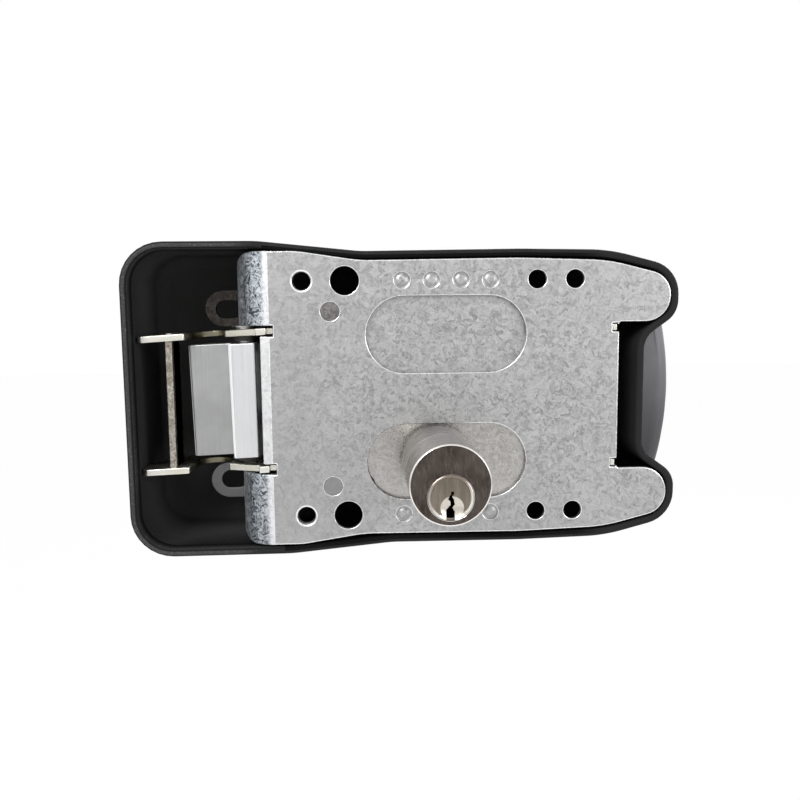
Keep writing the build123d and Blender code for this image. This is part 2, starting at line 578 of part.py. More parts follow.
with BuildPart() as pawl:
    with BuildSketch(Plane.XY.offset(PAWL_Z_LOW)):
        with Locations((PAWL_AXLE_X, PAWL_AXLE_Y)):
            Circle(PAWL_BOSS_R)
        with BuildLine():
            Polyline(
                (NOSE_X, NOSE_Y),
                (NOSE_X + PAWL_LONG * STRUT_X, NOSE_Y + PAWL_LONG * STRUT_Y),
                (NOSE_X + PAWL_LONG * STRUT_X + PAWL_THICK * STRUT_Y,
                 NOSE_Y + PAWL_LONG * STRUT_Y - PAWL_THICK * STRUT_X),
                (NOSE_X + PAWL_THICK * STRUT_Y, NOSE_Y - PAWL_THICK * STRUT_X),
                close=True,
            )
        make_face()
        with Locations((PAWL_AXLE_X, PAWL_AXLE_Y)):
            Circle(PAWL_AXLE_D / 2 + RUN_GAP, mode=Mode.SUBTRACT)
    extrude(amount=PAWL_Z_HIGH - PAWL_Z_LOW)
    # Crank: a tongue that drops to the armature's neck, forked round it
    with BuildSketch(Plane.XY.offset(COIL_Z - CRANK_TALL / 2)):
        with Locations((PAWL_AXLE_X + PAWL_AXLE_D / 2 + 1.0, PAWL_AXLE_Y)):
            Rectangle(CRANK_X + CRANK_WIDE / 2 - PAWL_AXLE_X - PAWL_AXLE_D / 2 - 1.0, CRANK_ARM,
                      align=(Align.MIN, Align.CENTER))
    extrude(amount=CRANK_TALL)
    with BuildSketch(Plane.YZ.offset(CRANK_X - CRANK_WIDE / 2)):
        with Locations((COIL_Y - ARMATURE_NECK_D / 2 - TOUCH_GAP, COIL_Z)):
            Rectangle(PAWL_AXLE_Y - COIL_Y + ARMATURE_NECK_D / 2 + TOUCH_GAP,
                      CRANK_TALL, align=(Align.MIN, Align.CENTER))
            Rectangle(ARMATURE_NECK_D + 2 * TOUCH_GAP, ARMATURE_NECK_D + 2 * TOUCH_GAP,
                      align=(Align.MIN, Align.CENTER), mode=Mode.SUBTRACT)
    extrude(amount=CRANK_WIDE)
    # Release finger: a side arm with a peg that stands in the key bar's window
    with BuildSketch(Plane.XY.offset(FINGER_Z - FINGER / 2)):
        with Locations((FINGER_X, FINGER_LOW_Y)):
            Rectangle(FINGER, FINGER_HIGH_Y - FINGER_LOW_Y, align=(Align.CENTER, Align.MIN))
    extrude(amount=FINGER)
    with BuildSketch(Plane.XY.offset(FINGER_Z - FINGER / 2)):
        with Locations((FINGER_X, FINGER_HIGH_Y)):
            Rectangle(FINGER, FINGER, align=(Align.CENTER, Align.MAX))
    extrude(amount=PAWL_Z_LOW - FINGER_Z + FINGER / 2 + 0.5)
finish(pawl.part, "pawl", STEEL)

# Key release bar: an upright flange over the cam and a tongue with a slanted window at its left end
with BuildPart() as release_bar:
    with BuildSketch(Plane.XY.offset(BAR_Z)):
        with Locations((BAR_LEFT, BAR_Y_LOW)):
            Rectangle(BAR_RIGHT - BAR_LEFT, BAR_Y_HIGH - BAR_Y_LOW, align=(Align.MIN, Align.MIN))
        with Locations(*GUIDE_PLACES):
            Circle(GUIDE_D / 2 + RUN_GAP, mode=Mode.SUBTRACT)
    extrude(amount=BAR_SHEET)
    with BuildSketch(at_depth(BAR_Y_LOW)):
        with Locations((BAR_LEFT, BAR_Z)):
            Rectangle(TONGUE_RIGHT - BAR_LEFT, TONGUE_TOP - BAR_Z, align=(Align.MIN, Align.MIN))
        with BuildLine():
            Polyline(
                (WINDOW_LEFT - WINDOW_LEAN * WINDOW_UP, FINGER_Z + WINDOW_UP),
                (FINGER_X + FINGER / 2 + WINDOW_WIDE, FINGER_Z + WINDOW_UP),
                (FINGER_X + FINGER / 2 + WINDOW_WIDE, FINGER_Z - WINDOW_DOWN),
                (WINDOW_LEFT + WINDOW_LEAN * WINDOW_DOWN, FINGER_Z - WINDOW_DOWN),
                close=True,
            )
        make_face(mode=Mode.SUBTRACT)
    extrude(amount=-BAR_SHEET)
finish(release_bar.part, "release_bar", ZINC)

with BuildPart() as guide_pins:
    with BuildSketch(Plane.XY.offset(-SIDE_OUTER)):
        with Locations(*GUIDE_PLACES):
            Circle(GUIDE_D / 2)
    extrude(amount=SIDE_OUTER + GUIDE_TOP)
    with BuildSketch(Plane.XY.offset(GUIDE_TOP)):
        with Locations(*GUIDE_PLACES):
            Circle(GUIDE_HEAD_D / 2)
    extrude(amount=1.5)
finish(guide_pins.part, "guide_pins", STEEL)

with BuildPart() as bar_springs:
    for guide_x, guide_y in GUIDE_PLACES:
        with BuildLine(Plane((guide_x, guide_y, BAR_Z + BAR_SHEET + SPRING_WIRE / 2 + 0.1))):
            spring_path = Helix(
                pitch=BAR_SPRING_LONG / BAR_SPRING_TURNS, height=BAR_SPRING_LONG, radius=BAR_SPRING_R
            )
        with BuildSketch(Plane(origin=spring_path @ 0, z_dir=spring_path % 0)):
            Circle(SPRING_WIRE / 2)
        sweep(path=spring_path)
finish(bar_springs.part, "bar_springs", STEEL)

# Solenoid: a U-frame screwed to the upper side plate, bobbin, winding, fixed core and armature
FRAME_RIGHT = FRAME_LEFT + FRAME_LONG
FRAME_TOP = SIDE_INNER
FRAME_LOW = COIL_Z - FRAME_HALF

with BuildPart() as solenoid_frame:
    with BuildSketch(Plane.XY.offset(FRAME_TOP - FRAME_SHEET)):
        with Locations((FRAME_LEFT, COIL_Y)):
            Rectangle(FRAME_LONG, 2 * FRAME_HALF, align=(Align.MIN, Align.CENTER))
        with Locations(*FRAME_SCREW_PLACES):
            Circle(FRAME_SCREW_D / 2, mode=Mode.SUBTRACT)
    extrude(amount=FRAME_SHEET)
    with BuildSketch(Plane.YZ.offset(FRAME_LEFT), Plane.YZ.offset(FRAME_RIGHT - FRAME_SHEET)):
        with Locations((COIL_Y, FRAME_LOW)):
            Rectangle(2 * FRAME_HALF, FRAME_TOP - FRAME_LOW, align=(Align.CENTER, Align.MIN))
        with Locations((COIL_Y, COIL_Z)):
            Circle(ARMATURE_D / 2 + BORE_GAP, mode=Mode.SUBTRACT)
    extrude(amount=FRAME_SHEET)
finish(solenoid_frame.part, "solenoid_frame", STEEL)

BOBBIN_LEFT = FRAME_LEFT + FRAME_SHEET + FIT_GAP
BOBBIN_LONG = FRAME_LONG - 2 * FRAME_SHEET - 2 * FIT_GAP
BOBBIN_BORE_R = ARMATURE_D / 2 + BORE_GAP
BOBBIN_CORE_R = BOBBIN_BORE_R + 0.9

with BuildPart() as coil_bobbin:
    with BuildSketch(Plane.YZ.offset(BOBBIN_LEFT)):
        with Locations((COIL_Y, COIL_Z)):
            Circle(BOBBIN_CORE_R)
            Circle(BOBBIN_BORE_R, mode=Mode.SUBTRACT)
    extrude(amount=BOBBIN_LONG)
    with BuildSketch(
        Plane.YZ.offset(BOBBIN_LEFT), Plane.YZ.offset(BOBBIN_LEFT + BOBBIN_LONG - BOBBIN_FLANGE)
    ):
        with Locations((COIL_Y, COIL_Z)):
            Circle(COIL_D / 2 + 0.2)
            Circle(BOBBIN_BORE_R, mode=Mode.SUBTRACT)
    extrude(amount=BOBBIN_FLANGE)
finish(coil_bobbin.part, "coil_bobbin", GREY)

with BuildPart() as coil_winding:
    with BuildSketch(Plane.YZ.offset(BOBBIN_LEFT + BOBBIN_FLANGE)):
        with Locations((COIL_Y, COIL_Z)):
            Circle(COIL_D / 2 - 0.4)
            Circle(BOBBIN_CORE_R, mode=Mode.SUBTRACT)
    extrude(amount=BOBBIN_LONG - 2 * BOBBIN_FLANGE)
finish(coil_winding.part, "coil_winding", (0.65, 0.32, 0.16))

with BuildPart() as solenoid_core:
    with BuildSketch(Plane.YZ.offset(FRAME_RIGHT - CORE_LONG)):
        with Locations((COIL_Y, COIL_Z)):
            Circle(ARMATURE_D / 2)
    extrude(amount=CORE_LONG)
    with BuildSketch(Plane.YZ.offset(FRAME_RIGHT)):
        with Locations((COIL_Y, COIL_Z)):
            Circle(ARMATURE_D / 2 + 1.5)
    extrude(amount=1.0)
finish(solenoid_core.part, "solenoid_core", STEEL)

with BuildPart() as armature:
    with BuildSketch(Plane.YZ.offset(ARMATURE_LEFT)):
        with Locations((COIL_Y, COIL_Z)):
            Circle(ARMATURE_D / 2)
    extrude(amount=FRAME_RIGHT - CORE_LONG - ARMATURE_GAP - ARMATURE_LEFT)
    with BuildSketch(Plane.YZ.offset(CRANK_X - CRANK_WIDE / 2 - NECK_GAP)):
        with Locations((COIL_Y, COIL_Z)):
            Circle(ARMATURE_D)
            Circle(ARMATURE_NECK_D / 2, mode=Mode.SUBTRACT)
    extrude(amount=CRANK_WIDE + 2 * NECK_GAP, mode=Mode.SUBTRACT)
finish(armature.part, "armature", STEEL)

with BuildPart() as frame_screws:
    with BuildSketch(Plane.XY.offset(FRAME_TOP - FRAME_SHEET - 1.0)):
        with Locations(*FRAME_SCREW_PLACES):
            Circle(FRAME_SCREW_D / 2 - FIT_GAP)
    extrude(amount=SIDE_OUTER - FRAME_TOP + FRAME_SHEET + 1.0)
    with BuildSketch(Plane.XY.offset(SIDE_OUTER)):
        with Locations(*FRAME_SCREW_PLACES):
            Circle(FRAME_SCREW_D / 2 + 1.2)
            RegularPolygon(FRAME_SCREW_D / 4 + 0.2, 6, mode=Mode.SUBTRACT)
    extrude(amount=2.0)
finish(frame_screws.part, "frame_screws", ZINC)

# Cylinder group: it slides along the lower slot to set the backset, then its screws clamp it
with BuildPart() as cylinder_body:
    with BuildSketch(at_depth(-CYL_OUT)):
        with Locations((CYL_X, CYL_Z)):
            Circle(CYL_D / 2)
    extrude(amount=-(CYL_OUT + SHEET))
    chamfer(cylinder_body.faces().sort_by(Axis.Y)[0].edges(), length=0.8)
    with BuildSketch(at_depth(-CYL_OUT)):
        with Locations((CYL_X, PLUG_Z)):
            Circle(PLUG_D / 2 + RUN_GAP)
    extrude(amount=-(CYL_OUT + SHEET), mode=Mode.SUBTRACT)
    with BuildSketch(at_depth(-CYL_OUT)):
        with Locations((CYL_X, PLUG_Z)):
            Circle(PLUG_RIM / 2 + RUN_GAP)
    extrude(amount=-PLUG_RIM_H, mode=Mode.SUBTRACT)
    with BuildSketch(Plane.XY.offset(PLUG_Z)):
        with Locations(*[(CYL_X, y) for y in PIN_YS]):
            Circle(PIN_D / 2 + RUN_GAP)
    extrude(amount=CYL_D / 2 + PLUG_DROP - 1.5, mode=Mode.SUBTRACT)
    with BuildSketch(at_depth(SHEET)):
        with Locations(*CYL_SCREW_PLACES):
            Circle(CYL_SCREW_D / 2)
    extrude(amount=CYL_SCREW_DEEP, mode=Mode.SUBTRACT)
finish(cylinder_body.part, "cylinder_body", (0.6, 0.56, 0.52))

with BuildPart() as cylinder_plug:
    with BuildSketch(at_depth(-CYL_OUT)):
        with Locations((CYL_X, PLUG_Z)):
            Circle(PLUG_D / 2)
    extrude(amount=-(CYL_OUT + PLUG_TAIL_Y))
    with BuildSketch(at_depth(-CYL_OUT)):
        with Locations((CYL_X, PLUG_Z)):
            Circle(PLUG_RIM / 2)
    extrude(amount=-(PLUG_RIM_H - 0.05))
    with BuildSketch(at_depth(-CYL_OUT)):
        with BuildLine():
            Polyline(
                (CYL_X - KEYWAY / 2, PLUG_Z + 2.0),
                (CYL_X + KEYWAY / 2, PLUG_Z + 2.0),
                (CYL_X + KEYWAY / 2 + KEYWAY_JOG, PLUG_Z - 0.5),
                (CYL_X + KEYWAY / 2, PLUG_Z - 2.5),
                (CYL_X + KEYWAY / 2 + KEYWAY_JOG, PLUG_Z - 4.5),
                (CYL_X + KEYWAY / 2, PLUG_Z - 6.0),
                (CYL_X - KEYWAY / 2, PLUG_Z - 6.0),
                (CYL_X - KEYWAY / 2 + KEYWAY_JOG, PLUG_Z - 4.5),
                (CYL_X - KEYWAY / 2, PLUG_Z - 2.5),
                (CYL_X - KEYWAY / 2 + KEYWAY_JOG, PLUG_Z - 0.5),
                close=True,
            )
        make_face()
    extrude(amount=-KEYWAY_DEEP, mode=Mode.SUBTRACT)
    with BuildSketch(Plane.XY.offset(PLUG_Z + 1.0)):
        with Locations(*[(CYL_X, y) for y in PIN_YS]):
            Circle(PIN_D / 2 + RUN_GAP)
    extrude(amount=PLUG_D, mode=Mode.SUBTRACT)
    with BuildSketch(at_depth(PLUG_TAIL_Y)):
        with Locations((CYL_X, PLUG_Z)):
            Rectangle(TAIL_WIDE, TAIL_WIDE, rotation=CAM_START)
    extrude(amount=-CAM_THICK)
finish(cylinder_plug.part, "cylinder_plug", (0.62, 0.58, 0.54))

with BuildPart() as plug_cam:
    with BuildSketch(at_depth(PLUG_TAIL_Y + BUSH_GAP)):
        with Locations((CYL_X, PLUG_Z)):
            Circle(CAM_HUB_R)
        with Locations(
            (CYL_X + CAM_REACH * cos(radians(CAM_START)), PLUG_Z + CAM_REACH * sin(radians(CAM_START)))
        ):
            Circle(CAM_TIP_R)
        make_hull()
        with Locations((CYL_X, PLUG_Z)):
            Rectangle(
                TAIL_WIDE + 2 * FIT_GAP, TAIL_WIDE + 2 * FIT_GAP, rotation=CAM_START, mode=Mode.SUBTRACT
            )
    extrude(amount=-(CAM_THICK - BUSH_GAP))
finish(plug_cam.part, "plug_cam", STEEL)

with BuildPart() as key_pins:
    for pin_y, pin_low in zip(PIN_YS, KEY_PIN_LOWS):
        with BuildSketch(Plane.XY.offset(pin_low)):
            with Locations((CYL_X, pin_y)):
                Circle(PIN_D / 2)
        extrude(amount=PLUG_Z + sqrt((PLUG_D / 2) ** 2 - (PIN_D / 2) ** 2) - 0.05 - pin_low)
finish(key_pins.part, "key_pins", BRASS)

with BuildPart() as driver_pins:
    with BuildSketch(Plane.XY.offset(PLUG_Z + PLUG_D / 2 + RUN_GAP)):
        with Locations(*[(CYL_X, y) for y in PIN_YS]):
            Circle(PIN_D / 2)
    extrude(amount=DRIVER_LONG)
finish(driver_pins.part, "driver_pins", BRASS)

with BuildPart() as carrier_plate:
    with BuildSketch(at_depth(SHEET)):
        with BuildLine():
            Polyline(
                (CYL_X - CARRIER_HALF, CARRIER_TOP),
                (CYL_X + CARRIER_HALF, CARRIER_TOP),
                (CYL_X + CARRIER_HALF, CARRIER_LOW),
                (CYL_X - CARRIER_NARROW, CARRIER_LOW),
                (CYL_X - CARRIER_NARROW, CARRIER_STEP),
                (CYL_X - CARRIER_HALF, CARRIER_STEP),
                close=True,
            )
        make_face()
        with Locations((CYL_X, PLUG_Z)):
            Circle(PLUG_D / 2 + 0.5, mode=Mode.SUBTRACT)
        with Locations(*CYL_SCREW_PLACES):
            Circle(CYL_SCREW_D / 2 + 0.2, mode=Mode.SUBTRACT)
        with Locations((POST_X + CARRIER_NOTCH, -POST_Z)):
            Circle(POST_D / 2 + RUN_GAP + 0.1, mode=Mode.SUBTRACT)
    extrude(amount=-CARRIER_SHEET)
finish(carrier_plate.part, "carrier_plate", STEEL)

with BuildPart() as cylinder_screws:
    with BuildSketch(at_depth(SHEET + CARRIER_SHEET)):
        with Locations(*CYL_SCREW_PLACES):
            Circle(CYL_SCREW_D / 2 - FIT_GAP)
    extrude(amount=CARRIER_SHEET + CYL_SCREW_DEEP - 1.0)
    with BuildSketch(at_depth(SHEET + CARRIER_SHEET)):
        with Locations(*CYL_SCREW_PLACES):
            Circle(CYL_SCREW_HEAD_D / 2)
            Rectangle(1.1 * CYL_SCREW_HEAD_D, 0.9, mode=Mode.SUBTRACT)
    extrude(amount=-2.2)
finish(cylinder_screws.part, "cylinder_screws", STEEL)

with BuildPart() as upper_slot_plate:
    with BuildSketch(at_depth(SHEET)):
        with Locations((0, SLOT_Z)):
            Rectangle(2 * (SLOT_HALF_LONG + SLOT_PLATE_LAP), 2 * (SLOT_HALF_TALL + SLOT_PLATE_LIP))
    extrude(amount=-CARRIER_SHEET)
finish(upper_slot_plate.part, "upper_slot_plate", STEEL)

# Mechanism plate: closes the side plates and carries the terminals and the button's switch
with BuildPart() as mechanism_plate:
    with BuildSketch(at_depth(MECH_Y)):
        with Locations((SIDE_STEP_X + SIDE_TAB_GAP, 0)):
            Rectangle(
                SIDE_RIGHT - SIDE_STEP_X - SIDE_TAB_GAP, 2 * SIDE_OUTER, align=(Align.MIN, Align.CENTER)
            )
        with Locations(*[(x, z) for x in SIDE_LUG_XS for z in (SIDE_Z, -SIDE_Z)]):
            Rectangle(SIDE_LUG_WIDE + 2 * SIDE_TAB_GAP, SIDE_SHEET + 2 * SIDE_TAB_GAP, mode=Mode.SUBTRACT)
        with Locations((LEAD_HOLE_X, LEAD_HOLE_Z)):
            SlotOverall(LEAD_HOLE_LONG, LEAD_D + 3.0, rotation=90, mode=Mode.SUBTRACT)
    extrude(amount=-MECH_SHEET)
finish(mechanism_plate.part, "mechanism_plate", STEEL)

MECH_TOP = MECH_Y + MECH_SHEET

with BuildPart() as terminal_block:
    with BuildSketch(at_depth(MECH_TOP)):
        with Locations((TERMINAL_X, 0)):
            Rectangle(TERMINAL_WIDE, TERMINAL_LONG)
    extrude(amount=-TERMINAL_TALL)
    with BuildSketch(at_depth(MECH_TOP + TERMINAL_TALL - TERMINAL_WELL)):
        with Locations(*TERMINAL_PLACES):
            Circle(TERMINAL_SCREW_D / 2 + 0.3)
    extrude(amount=-TERMINAL_WELL, mode=Mode.SUBTRACT)
    with BuildSketch(Plane.YZ.offset(TERMINAL_X - TERMINAL_WIDE / 2)):
        with Locations(*[(MECH_TOP + WIRE_ENTRY_Y, z) for x, z in TERMINAL_PLACES]):
            Circle(LEAD_D / 2 + 0.1)
    extrude(amount=TERMINAL_WIRE_DEEP, mode=Mode.SUBTRACT)
finish(terminal_block.part, "terminal_block", (0.1, 0.25, 0.12))

with BuildPart() as terminal_screws:
    with BuildSketch(at_depth(MECH_TOP + TERMINAL_TALL - TERMINAL_WELL)):
        with Locations(*TERMINAL_PLACES):
            Circle(TERMINAL_SCREW_D / 2)
    extrude(amount=-(TERMINAL_WELL - 1.0))
    with BuildSketch(at_depth(MECH_TOP + TERMINAL_TALL - 1.6)):
        with Locations(*TERMINAL_PLACES):
            Rectangle(TERMINAL_SCREW_D, 0.7)
    extrude(amount=-1.0, mode=Mode.SUBTRACT)
finish(terminal_screws.part, "terminal_screws", ZINC)

with BuildPart() as exit_switch:
    with BuildSketch(at_depth(MECH_TOP)):
        with Locations((BUTTON_X, 0)):
            Rectangle(SWITCH_LONG, SWITCH_WIDE)
    extrude(amount=-SWITCH_TALL)
    with BuildSketch(at_depth(MECH_TOP + SWITCH_TALL - PLUNGER_LONG)):
        with Locations((BUTTON_X, 0)):
            Circle(PLUNGER_D / 2 + RUN_GAP)
    extrude(amount=-PLUNGER_LONG, mode=Mode.SUBTRACT)
finish(exit_switch.part, "exit_switch", NYLON)

with BuildPart() as switch_plunger:
    with BuildSketch(at_depth(MECH_TOP + SWITCH_TALL - PLUNGER_LONG + BUTTON_TRAVEL + 0.3)):
        with Locations((BUTTON_X, 0)):
            Circle(PLUNGER_D / 2)
    extrude(amount=-(PLUNGER_LONG - 0.3))
finish(switch_plunger.part, "switch_plunger", (0.7, 0.1, 0.08))

PLUNGER_TOP = MECH_TOP + SWITCH_TALL + BUTTON_TRAVEL
COVER_INNER = COVER_DEPTH - COVER_FRONT_WALL
BUTTON_FACE = COVER_DEPTH + BUTTON_OUT

with BuildPart() as push_button:
    with BuildSketch(at_depth(COVER_INNER - BUTTON_GAP - BUTTON_FLANGE)):
        with Locations((BUTTON_X, 0)):
            Circle(BUTTON_D / 2 + 2.0)
    extrude(amount=-BUTTON_FLANGE)
    with BuildSketch(at_depth(COVER_INNER - BUTTON_GAP - BUTTON_FLANGE)):
        with Locations((BUTTON_X, 0)):
            Circle(BUTTON_D / 2)
    extrude(amount=-(BUTTON_FACE - COVER_INNER + BUTTON_GAP + BUTTON_FLANGE))
    fillet(push_button.faces().sort_by(Axis.Y)[-1].edges(), radius=1.5)
    with BuildSketch(at_depth(COVER_INNER - BUTTON_GAP - BUTTON_FLANGE)):
        with Locations((BUTTON_X, 0)):
            Circle(BUTTON_D / 2 - BUTTON_WALL)
    extrude(amount=-(BUTTON_FACE - COVER_INNER + BUTTON_GAP + BUTTON_FLANGE - BUTTON_TOP), mode=Mode.SUBTRACT)
    with BuildSketch(at_depth(PLUNGER_TOP + BUTTON_GAP)):
        with Locations((BUTTON_X, 0)):
            Circle(BUTTON_STEM_D / 2)
    extrude(amount=-(BUTTON_FACE - BUTTON_TOP - PLUNGER_TOP))
finish(push_button.part, "push_button", GREY)

with BuildPart() as button_spring:
    with BuildLine():
        button_path = Helix(pitch=BUTTON_SPRING_LONG / BUTTON_SPRING_TURNS, height=BUTTON_SPRING_LONG,
                            radius=BUTTON_SPRING_R, center=(BUTTON_X, MECH_TOP + SPRING_WIRE / 2 + 0.1, 0),
                            direction=(0, 1, 0))
    with BuildSketch(Plane(origin=button_path @ 0, z_dir=button_path % 0)):
        Circle(SPRING_WIRE / 2)
    sweep(path=button_path)
finish(button_spring.part, "button_spring", STEEL)

# Leads between the winding, the switch and the terminals, laid on the mechanism plate
with BuildPart() as coil_leads:
    for lead_z, end_z in ((COIL_Z - 1.6, TERMINAL_ZS[2]), (COIL_Z + 1.6, TERMINAL_ZS[3])):
        with BuildLine():
            lead_path = FilletPolyline(
                (LEAD_START_X, COIL_Y + COIL_D / 2 - 0.3, lead_z),
                (LEAD_START_X, LEAD_RUN_Y, lead_z),
                (LEAD_HOLE_X, LEAD_RUN_Y, end_z),
                (LEAD_HOLE_X, MECH_TOP + WIRE_ENTRY_Y, end_z),
                (TERMINAL_X - TERMINAL_WIDE / 2 + TERMINAL_WIRE_DEEP - 0.5, MECH_TOP + WIRE_ENTRY_Y, end_z),
                radius=[1.3, 3.0, 3.0],
            )
        with BuildSketch(Plane(origin=lead_path @ 0, z_dir=lead_path % 0)):
            Circle(LEAD_D / 2)
        sweep(path=lead_path)
finish(coil_leads.part, "coil_leads", (0.7, 0.1, 0.08))

with BuildPart() as cover_posts:
    with BuildSketch(at_depth(0.05)):
        with Locations((POST_X, POST_Z), (POST_X, -POST_Z)):
            Circle(POST_HEAD_D / 2 - FIT_GAP)
    extrude(amount=-SHEET)
    with BuildSketch(at_depth(SHEET)):
        with Locations((POST_X, POST_Z), (POST_X, -POST_Z)):
            Circle(POST_D / 2)
    extrude(amount=-(COVER_INNER - SHEET))
    with BuildSketch(at_depth(COVER_INNER - POST_SCREW_LONG)):
        with Locations((POST_X, POST_Z), (POST_X, -POST_Z)):
            Circle(POST_SCREW_D / 2)
    extrude(amount=-POST_SCREW_LONG, mode=Mode.SUBTRACT)
finish(cover_posts.part, "cover_posts", STEEL)

with BuildPart() as cover_screws:
    with BuildSketch(at_depth(COVER_INNER - POST_SCREW_LONG + 1.0)):
        with Locations((POST_X, POST_Z), (POST_X, -POST_Z)):
            Circle(POST_SCREW_D / 2 - FIT_GAP)
    extrude(amount=-(POST_SCREW_LONG - 1.0 + COVER_FRONT_WALL - 2.2))
    with BuildSketch(at_depth(COVER_DEPTH - 2.2)):
        with Locations((POST_X, POST_Z), (POST_X, -POST_Z)):
            Circle(POST_SCREW_D / 2 + 1.6)
    extrude(amount=-2.0)
    with BuildSketch(at_depth(COVER_DEPTH - 1.4)):
        with Locations((POST_X, POST_Z), (POST_X, -POST_Z)):
            Rectangle(3.6, 1.0)
            Rectangle(1.0, 3.6)
    extrude(amount=-2.0, mode=Mode.SUBTRACT)
finish(cover_screws.part, "cover_screws", ZINC)

with BuildPart() as cover:
    with BuildSketch(at_depth(0)):
        with BuildLine():
            FilletPolyline(RIM_POINTS, radius=RIM_RADII, close=True)
        make_face()
    extrude(amount=-COVER_DEPTH)
    fillet(cover.faces().sort_by(Axis.Y)[-1].edges(), radius=COVER_FRONT_ROUND)
    with BuildSketch(at_depth(0)):
        with BuildLine():
            FilletPolyline(RIM_POINTS, radius=RIM_RADII, close=True)
        make_face()
        offset(amount=-COVER_WALL, kind=Kind.INTERSECTION, mode=Mode.REPLACE)
    extrude(amount=-COVER_INNER, mode=Mode.SUBTRACT)
    with BuildSketch(at_depth(COVER_INNER)):
        with Locations((BUTTON_X, 0)):
            Circle(BUTTON_D / 2 + BUTTON_GAP)
        with Locations((POST_X, POST_Z), (POST_X, -POST_Z)):
            Circle(POST_SCREW_D / 2 + 0.2)
    extrude(amount=-COVER_DEPTH, mode=Mode.SUBTRACT)
    with BuildSketch(at_depth(COVER_DEPTH - 2.2)):
        with Locations((POST_X, POST_Z), (POST_X, -POST_Z)):
            Circle(POST_SCREW_D / 2 + 1.6 + FIT_GAP)
    extrude(amount=-COVER_DEPTH, mode=Mode.SUBTRACT)
    with BuildSketch(at_depth(COVER_INNER)):
        with Locations(*GRIP_SCREW_PLACES):
            Circle(GRIP_SCREW_D / 2 + 0.2)
    extrude(amount=-COVER_DEPTH, mode=Mode.SUBTRACT)
finish(cover.part, "cover", NYLON)

with BuildSketch() as grip_outline:
    with BuildLine():
        Polyline(
            (GRIP_EDGE_X, GRIP_HALF),
            (GRIP_LEFT, GRIP_HALF),
            (GRIP_LEFT, -GRIP_HALF),
            (GRIP_EDGE_X, -GRIP_HALF),
        )
        ThreePointArc((GRIP_EDGE_X, -GRIP_HALF), (GRIP_REACH, 0), (GRIP_EDGE_X, GRIP_HALF))
    make_face()
    fillet(grip_outline.vertices(), radius=GRIP_CORNER_R)

with BuildPart() as grip:
    with BuildSketch(at_depth(GRIP_BACK_Y)):
        add(grip_outline.sketch)
    extrude(amount=-(GRIP_FRONT_Y - GRIP_BACK_Y))
    fillet(grip.faces().sort_by(Axis.Y)[-1].edges(), radius=3.5)
    fillet(grip.faces().sort_by(Axis.Y)[0].edges(), radius=5.0)
    with BuildSketch(at_depth(0)):
        with BuildLine():
            FilletPolyline(RIM_POINTS, radius=RIM_RADII, close=True)
        make_face()
        offset(amount=TOUCH_GAP, kind=Kind.INTERSECTION, mode=Mode.REPLACE)
    extrude(amount=-COVER_DEPTH, mode=Mode.SUBTRACT)
    with BuildSketch(at_depth(GRIP_BACK_Y + GRIP_WALL)):
        add(grip_outline.sketch)
        offset(amount=-GRIP_WALL, kind=Kind.INTERSECTION, mode=Mode.REPLACE)
    extrude(amount=-(COVER_DEPTH - GRIP_BACK_Y - GRIP_WALL), mode=Mode.SUBTRACT)
    with BuildSketch(at_depth(COVER_DEPTH)):
        with Locations(*GRIP_SCREW_PLACES):
            Circle(GRIP_SCREW_D / 2)
    extrude(amount=-2.6, mode=Mode.SUBTRACT)
finish(grip.part, "grip", GREY)

with BuildPart() as grip_screws:
    with BuildSketch(at_depth(COVER_INNER - GRIP_SCREW_HEAD_H)):
        with Locations(*GRIP_SCREW_PLACES):
            Circle(GRIP_SCREW_HEAD_D / 2)
    extrude(amount=-GRIP_SCREW_HEAD_H)
    with BuildSketch(at_depth(COVER_INNER)):
        with Locations(*GRIP_SCREW_PLACES):
            Circle(GRIP_SCREW_D / 2 - FIT_GAP)
    extrude(amount=-(COVER_FRONT_WALL + GRIP_SCREW_HEAD_H))
finish(grip_screws.part, "grip_screws", ZINC)
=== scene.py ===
from math import cos, radians, sin, sqrt, tan

import bmesh
import bpy
from mathutils import Matrix, Vector


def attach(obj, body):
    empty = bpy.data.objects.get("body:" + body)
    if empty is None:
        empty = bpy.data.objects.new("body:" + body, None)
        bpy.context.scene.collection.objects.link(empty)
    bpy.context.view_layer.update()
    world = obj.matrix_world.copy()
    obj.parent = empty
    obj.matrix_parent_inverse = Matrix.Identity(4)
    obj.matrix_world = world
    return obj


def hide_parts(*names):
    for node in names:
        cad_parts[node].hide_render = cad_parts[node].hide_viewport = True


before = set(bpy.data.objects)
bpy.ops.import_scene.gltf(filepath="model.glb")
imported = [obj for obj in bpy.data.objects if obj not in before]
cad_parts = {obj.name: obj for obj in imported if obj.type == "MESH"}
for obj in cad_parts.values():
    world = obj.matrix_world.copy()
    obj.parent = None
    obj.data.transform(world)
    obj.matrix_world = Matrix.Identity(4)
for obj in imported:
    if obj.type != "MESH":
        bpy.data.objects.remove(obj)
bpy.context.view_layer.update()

# The photograph looks at the side of the lock that lies against the gate, from a little to the
# left and above. The camera's place and angles come from fitting the plate's holes and outline,
# with a lens as long as the film is wide.
MM = 0.001
CAMERA_PLACE = (-31.93, -281.47, 32.34)
CAMERA_YAW = radians(3.0986)
CAMERA_PITCH = radians(6.619)
CAMERA_ROLL = radians(-0.6096)
FILM_WIDE = 36

